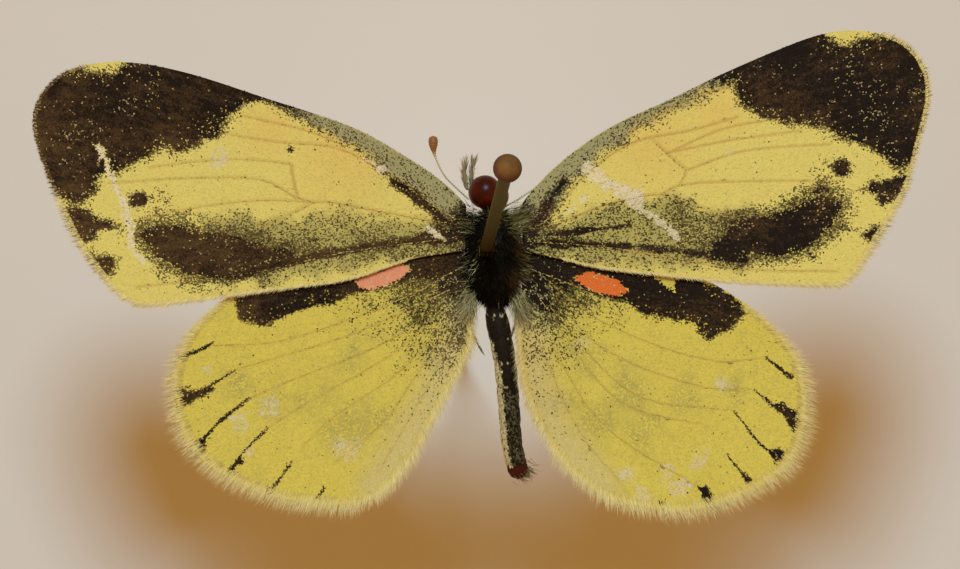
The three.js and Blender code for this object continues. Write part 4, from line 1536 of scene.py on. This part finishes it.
def abdomen_scales(middle, share, profile, rng):
    """Scales round the abdomen: their points and faces, and what each one shows."""
    number = ABDOMEN_SCALES
    spot = rng.integers(*ABDOMEN_SCALED, number)
    share, tangent = share[spot], ways_along(middle)[spot]
    turn = rng.random(number) * math.tau
    across = unit(np.cross(tangent, (0, 0, 1.0)))
    over = np.cross(across, tangent)
    normal = across * np.cos(turn)[:, None] + over * np.sin(turn)[:, None]
    starts = middle[spot] + normal * np.interp(share, *zip(*profile))[:, None]
    sizes = np.array(ABDOMEN_SCALE_SIZES) * rng.uniform(0.8, 1.2, (number, 3))
    shape = many(SCALE_SHAPE, SCALE_FACES, starts * MM, tangent, np.cross(normal, tangent),
                 normal, sizes * MM)
    right, up = normal[:, 0], normal[:, 2]
    flank = -right + 0.35 * -up * (up < 0) + rng.normal(0, 0.07, number)
    begins = np.interp(share, (0.05, 0.2, 0.35, 1), (1.05, 0.75, 0.4, 0.36))
    border = np.abs((share - RINGS_START) / RINGS_SHARE * ABDOMEN_RINGS % 1 - 0.02) < 0.14
    fleck = border & (np.abs(right - 0.1) < 0.5) & (rng.random(number) < 0.2)
    dusty = (share > 0.45) & (rng.random(number) < 0.45)
    pale = np.maximum(fleck * 0.6, dusty * 0.13)
    tone = {
        "pale": np.maximum(eased(flank - begins, 0, 0.16), pale),
        # Painted shade: scales that face right turn red-brown, for the warm shade on that side
        "red": eased(right + rng.normal(0, 0.06, number), 0.75, 0.95),
        "grain": rng.random(number),
    }
    return shape, tone


class BUTTERFLY_OT_abdomen(bpy.types.Operator):
    """Builds the ringed abdomen, its scales and its hairy tip"""

    bl_idname = "butterfly.abdomen"
    bl_label = "Abdomen"

    def execute(self, context):
        settings, rng = context.scene.butterfly_body, draws("abdomen")
        profile = abdomen_profile()
        shape = limb(ABDOMEN_LINE, profile, ABDOMEN_STEPS, ABDOMEN_SIDES)
        reach = np.repeat(np.linspace(0, 1, ABDOMEN_STEPS), ABDOMEN_SIDES)
        piece("abdomen_skin", *shape, abdomen_skin(settings), "abdomen", "abdomen",
              attributes={"reach": np.append(reach, (0, 1))})
        middle, share = along_line(ABDOMEN_LINE, ABDOMEN_POINTS)
        shape, tone = abdomen_scales(middle, share, profile, rng)
        coat("abdomen_scales", shape, abdomen_scale_finish(settings), "abdomen", tone, SCALE_CELL)
        number, (tip, beyond) = ABDOMEN_HAIRS, ABDOMEN_TIP
        starts = middle[tip] + (0.12, 0, 0) + rng.normal(0, 0.13, (number, 3))
        ways = ways_along(middle)[beyond] + rng.normal(0, 0.35, (number, 3)) + (0.8, 0.1, 0)
        material = plain_finish("abdomen tip hair", settings.leg, 0.5)
        lengths = rng.uniform(0.15, 0.4, number)
        hair_coat("abdomen_tip_hair", starts, ways, lengths, (0.014, 0.026), material,
                  "abdomen", rng)
        return {"FINISHED"}


class BUTTERFLY_OT_eyes(bpy.types.Operator):
    """Builds the two domed eyes"""

    bl_idname = "butterfly.eyes"
    bl_label = "Eyes"

    def execute(self, context):
        settings = context.scene.butterfly_body
        finish = Finish("eye", Roughness=0.3, Specular_IOR_Level=0.15)
        facets = finish.node("ShaderNodeTexVoronoi", None,
                             {"Vector": finish.place(), "Scale": 32000})
        cloud = finish.between(finish.noise(2200, 3), 0.35, 0.65)
        shade = finish.mix(cloud, scaled(settings.eye, 0.55), settings.eye)
        material = finish.paint(Base_Color=shade, Normal=finish.bump(facets, 0.004, 0.4))
        base = EYE_RADIUS * math.sin(math.pi / EYE_ROWS) * MM
        for side, outward in zip(SIDES, (HEAD_LEFT, -HEAD_LEFT)):
            bpy.ops.object.select_all(action="DESELECT")
            bpy.ops.mesh.primitive_uv_sphere_add(
                segments=EYE_SEGMENTS, ring_count=EYE_ROWS, radius=EYE_RADIUS * MM)
            made = context.object
            made.name = f"eye_{side}_dome"
            bpy.ops.object.mode_set(mode="EDIT")
            bpy.ops.mesh.bisect(plane_co=(0, 0, -base), plane_no=(0, 0, 1), use_fill=True,
                                clear_inner=True, threshold=MERGE_WITHIN)
            bpy.ops.mesh.select_all(action="SELECT")
            bpy.ops.mesh.normals_make_consistent(inside=False)
            bpy.ops.transform.resize(value=(1, 1, EYE_BULGE / EYE_RADIUS),
                                     center_override=(0, 0, 0))
            rounded_off(EYE_SHARP)
            turn = Vector((0, 0, 1)).rotation_difference(outward).to_matrix().to_4x4()
            place = Vector(HEAD_CENTRE * MM) + outward * EYE_OFFSET * MM
            made.data.transform(Matrix.Translation(place) @ turn)
            dress(made, material, "eye", f"eye_{side}")
        return {"FINISHED"}


class BUTTERFLY_OT_mouthparts(bpy.types.Operator):
    """Builds the scaly palps and the coiled proboscis"""

    bl_idname = "butterfly.mouthparts"
    bl_label = "Palps and Proboscis"

    def execute(self, context):
        settings, rng = context.scene.butterfly_body, draws("mouthparts")
        skin = skin_finish("palp skin", settings.palp)
        hair = plain_finish("palp hair", settings.palp, 0.55)
        for side, line in PALP_LINES.items():
            shape = limb(line, PALP_PROFILE, PALP_STEPS, PALP_SIDES)
            piece(f"palp_{side}_core", *shape, skin, "palp", f"palp_{side}")
            hair_along(f"palp_{side}_hair", line, hair, "palp", rng, PALP_HAIR)
        number = PROBOSCIS_POINTS
        turn = np.linspace(0, PROBOSCIS_TURNS * math.tau, number)
        radius = np.interp(turn, (0, turn[-1]), PROBOSCIS_SPREAD)
        flat = Vector((0, 0, 1)).rotation_difference(HEAD_LEFT).to_matrix()
        ring = np.stack([radius * np.cos(turn), radius * np.sin(turn), turn * 0], 1)
        middle = (PROBOSCIS_CENTRE + ring @ np.array(flat).T) * MM
        shape = tube(middle, np.linspace(*PROBOSCIS_RADII, number) * MM, PROBOSCIS_SIDES)
        piece("proboscis_coil", *shape, skin_finish("proboscis", settings.antenna), "antenna",
              "proboscis")
        return {"FINISHED"}


class BUTTERFLY_OT_antennae(bpy.types.Operator):
    """Builds the ringed antennae with their clubs"""

    bl_idname = "butterfly.antennae"
    bl_label = "Antennae"

    def execute(self, context):
        settings = context.scene.butterfly_body
        finish = Finish("antenna", Roughness=0.5)
        club = finish.between(finish.attribute("reach"), 0.72, 0.82)
        ringed = finish.between(finish.attribute("ring"), 0.4, 0.7)
        stalk = finish.mix(ringed, settings.leg, settings.abdomen_pale)
        material = finish.paint(Base_Color=finish.mix(club, stalk, settings.antenna),
                                Normal=finish.bump(finish.noise(14000), 0.006, 0.5))
        for side, line in ANTENNA_LINES.items():
            points, share = along_line(line, ANTENNA_RINGS * ANTENNA_STEPS + 1)
            wave = np.abs(np.sin(share * ANTENNA_RINGS * math.pi)) ** 0.5
            body = np.interp(share, *zip(*ANTENNA_PROFILE))
            shape = tube(points * MM, body * (0.88 + 0.12 * wave) * MM, ANTENNA_SIDES)
            each = {key: np.concatenate([np.repeat(values, ANTENNA_SIDES), values[[0, -1]]])
                    for key, values in (("reach", share), ("ring", wave))}
            piece(f"antenna_{side}_ringed", *shape, material, "antenna", f"antenna_{side}",
                  attributes=each)
        return {"FINISHED"}


class BUTTERFLY_OT_legs(bpy.types.Operator):
    """Builds the six folded legs with their joints and short hair"""

    bl_idname = "butterfly.legs"
    bl_label = "Legs"

    def execute(self, context):
        settings, rng = context.scene.butterfly_body, draws("legs")
        skin = skin_finish("leg skin", settings.leg)
        hair = plain_finish("leg hair", settings.leg, 0.4)
        for pair, points in LEG_LINES.items():
            for side in SIDES:
                name, line = f"leg_{pair}_{side}", np.array(points)
                if side == "right":
                    line[:, 0] = 2 * THORAX_CENTRE[0] - line[:, 0]
                shape = limb(line, LEG_PROFILE, LEG_STEPS, LEG_SIDES)
                piece(f"{name}_jointed", *shape, skin, "leg", name)
                hair_along(f"{name}_hair", line, hair, "leg", rng, LEG_HAIR)
        return {"FINISHED"}


def pin_finish(settings):
    """Lacquered steel, drawn along the pin and worn in patches."""
    finish = Finish("pin lacquer", Metallic=0.3, Specular_IOR_Level=0.3)
    drawn = finish.noise(1500, 4, stretch=(1, 1, 0.04))
    worn = finish.between(finish.noise(2600, 5), 0.55, 0.7)
    shade = finish.mix(worn * 0.5, settings.pin, scaled(settings.pin, 1.8))
    return finish.paint(Base_Color=shade, Roughness=0.4 + 0.25 * drawn,
                        Normal=finish.bump(drawn, 0.004, 0.4))


def pin_head_finish(settings):
    """Brown lacquer with a painted highlight: lighter on the crown, with painted shade round the
    side.
    """
    finish = Finish("pin head lacquer", Roughness=0.5, Specular_IOR_Level=0.08)
    cloud = finish.between(finish.noise(1600, 4), 0.3, 0.7)
    # Painted highlight and shade: the colour turns from the light crown to the darker side with
    # distance from the head's top
    crown = finish.away((0, 0, (PIN_HEAD_CENTRE + PIN_HEAD_RADIUS) * MM))
    rim = finish.between(crown, PIN_HEAD_RADIUS * 0.5 * MM, PIN_HEAD_RADIUS * 1.3 * MM)
    shade = finish.mix(rim, settings.pin_head, settings.pin_head_painted_shade)
    shade = finish.dim(shade, 0.75 + 0.5 * cloud)
    return finish.paint(Base_Color=shade, Normal=finish.bump(finish.noise(9000, 3), 0.002, 0.2))


class BUTTERFLY_OT_pin(bpy.types.Operator):
    """Builds the pin's round shaft with its ground point, and its head"""

    bl_idname = "butterfly.pin"
    bl_label = "Pin"

    def execute(self, context):
        settings = context.scene.butterfly_body
        foot = PIN_POINT + PIN_TIP
        bpy.ops.object.select_all(action="DESELECT")
        bpy.ops.mesh.primitive_cylinder_add(
            vertices=40, radius=PIN_RADIUS * MM, depth=(PIN_TOP - foot) * MM,
            location=(0, 0, (PIN_TOP + foot) / 2 * MM), end_fill_type="TRIFAN")
        shaft = context.object
        shaft.name = "pin_shaft"
        bpy.ops.object.transform_apply(location=True)
        pick_faces(shaft, lambda face: face.normal.z < -0.5)
        for drop, narrow in PIN_STEPS:
            foot -= drop
            bpy.ops.mesh.extrude_region_move(
                TRANSFORM_OT_translate={"value": (0, 0, -drop * MM)})
            bpy.ops.transform.resize(value=(narrow, narrow, 1), center_override=(0, 0, foot * MM))
        rounded_off(PIN_SHARP)
        dress(shaft, pin_finish(settings), "pin", "pin")

        bpy.ops.object.select_all(action="DESELECT")
        bpy.ops.mesh.primitive_uv_sphere_add(
            segments=48, ring_count=28, radius=PIN_HEAD_RADIUS * MM,
            location=(0, 0, PIN_HEAD_CENTRE * MM))
        head = context.object
        head.name = "pin_ball"
        bpy.ops.object.transform_apply(location=True)
        neck = (PIN_HEAD_CENTRE - PIN_HEAD_RADIUS * 0.9) * MM
        pick_faces(head, lambda face: face.center.z < neck)
        bpy.ops.mesh.extrude_region_move(TRANSFORM_OT_translate={"value": (0, 0, -PIN_NECK * MM)})
        rounded_off(PIN_SHARP)
        dress(head, pin_head_finish(settings), "pin_head", "pin_head")
        return {"FINISHED"}


STEPS = (
    BUTTERFLY_OT_membranes,
    BUTTERFLY_OT_scales,
    BUTTERFLY_OT_underscales,
    BUTTERFLY_OT_fringe,
    BUTTERFLY_OT_thorax,
    BUTTERFLY_OT_tufts,
    BUTTERFLY_OT_abdomen,
    BUTTERFLY_OT_eyes,
    BUTTERFLY_OT_mouthparts,
    BUTTERFLY_OT_antennae,
    BUTTERFLY_OT_legs,
    BUTTERFLY_OT_pin,
    BUTTERFLY_OT_stage,
)
GROUPS = {
    "butterfly_wings": WingSettings,
    "butterfly_body": BodySettings,
    "butterfly_stage": StageSettings,
}


class BUTTERFLY_PT_panel(bpy.types.Panel):
    """Settings and steps"""

    bl_idname = "BUTTERFLY_PT_panel"
    bl_label = "Butterfly"
    bl_space_type = "VIEW_3D"
    bl_region_type = "UI"
    bl_category = "Butterfly"

    def draw(self, context):
        for step in STEPS:
            self.layout.operator(step.bl_idname)
        for group, kind in GROUPS.items():
            box = self.layout.box()
            for key in kind.__annotations__:
                box.prop(getattr(context.scene, group), key)


def register():
    for kind in (*GROUPS.values(), *STEPS, BUTTERFLY_PT_panel):
        bpy.utils.register_class(kind)
    for group, kind in GROUPS.items():
        setattr(bpy.types.Scene, group, PointerProperty(type=kind))


def unregister():
    for group in GROUPS:
        delattr(bpy.types.Scene, group)
    for kind in (BUTTERFLY_PT_panel, *reversed(STEPS), *GROUPS.values()):
        bpy.utils.unregister_class(kind)


def main():
    register()
    for step in STEPS:
        family, action = step.bl_idname.split(".")
        getattr(getattr(bpy.ops, family), action)()


if __name__ == "__main__":
    main()
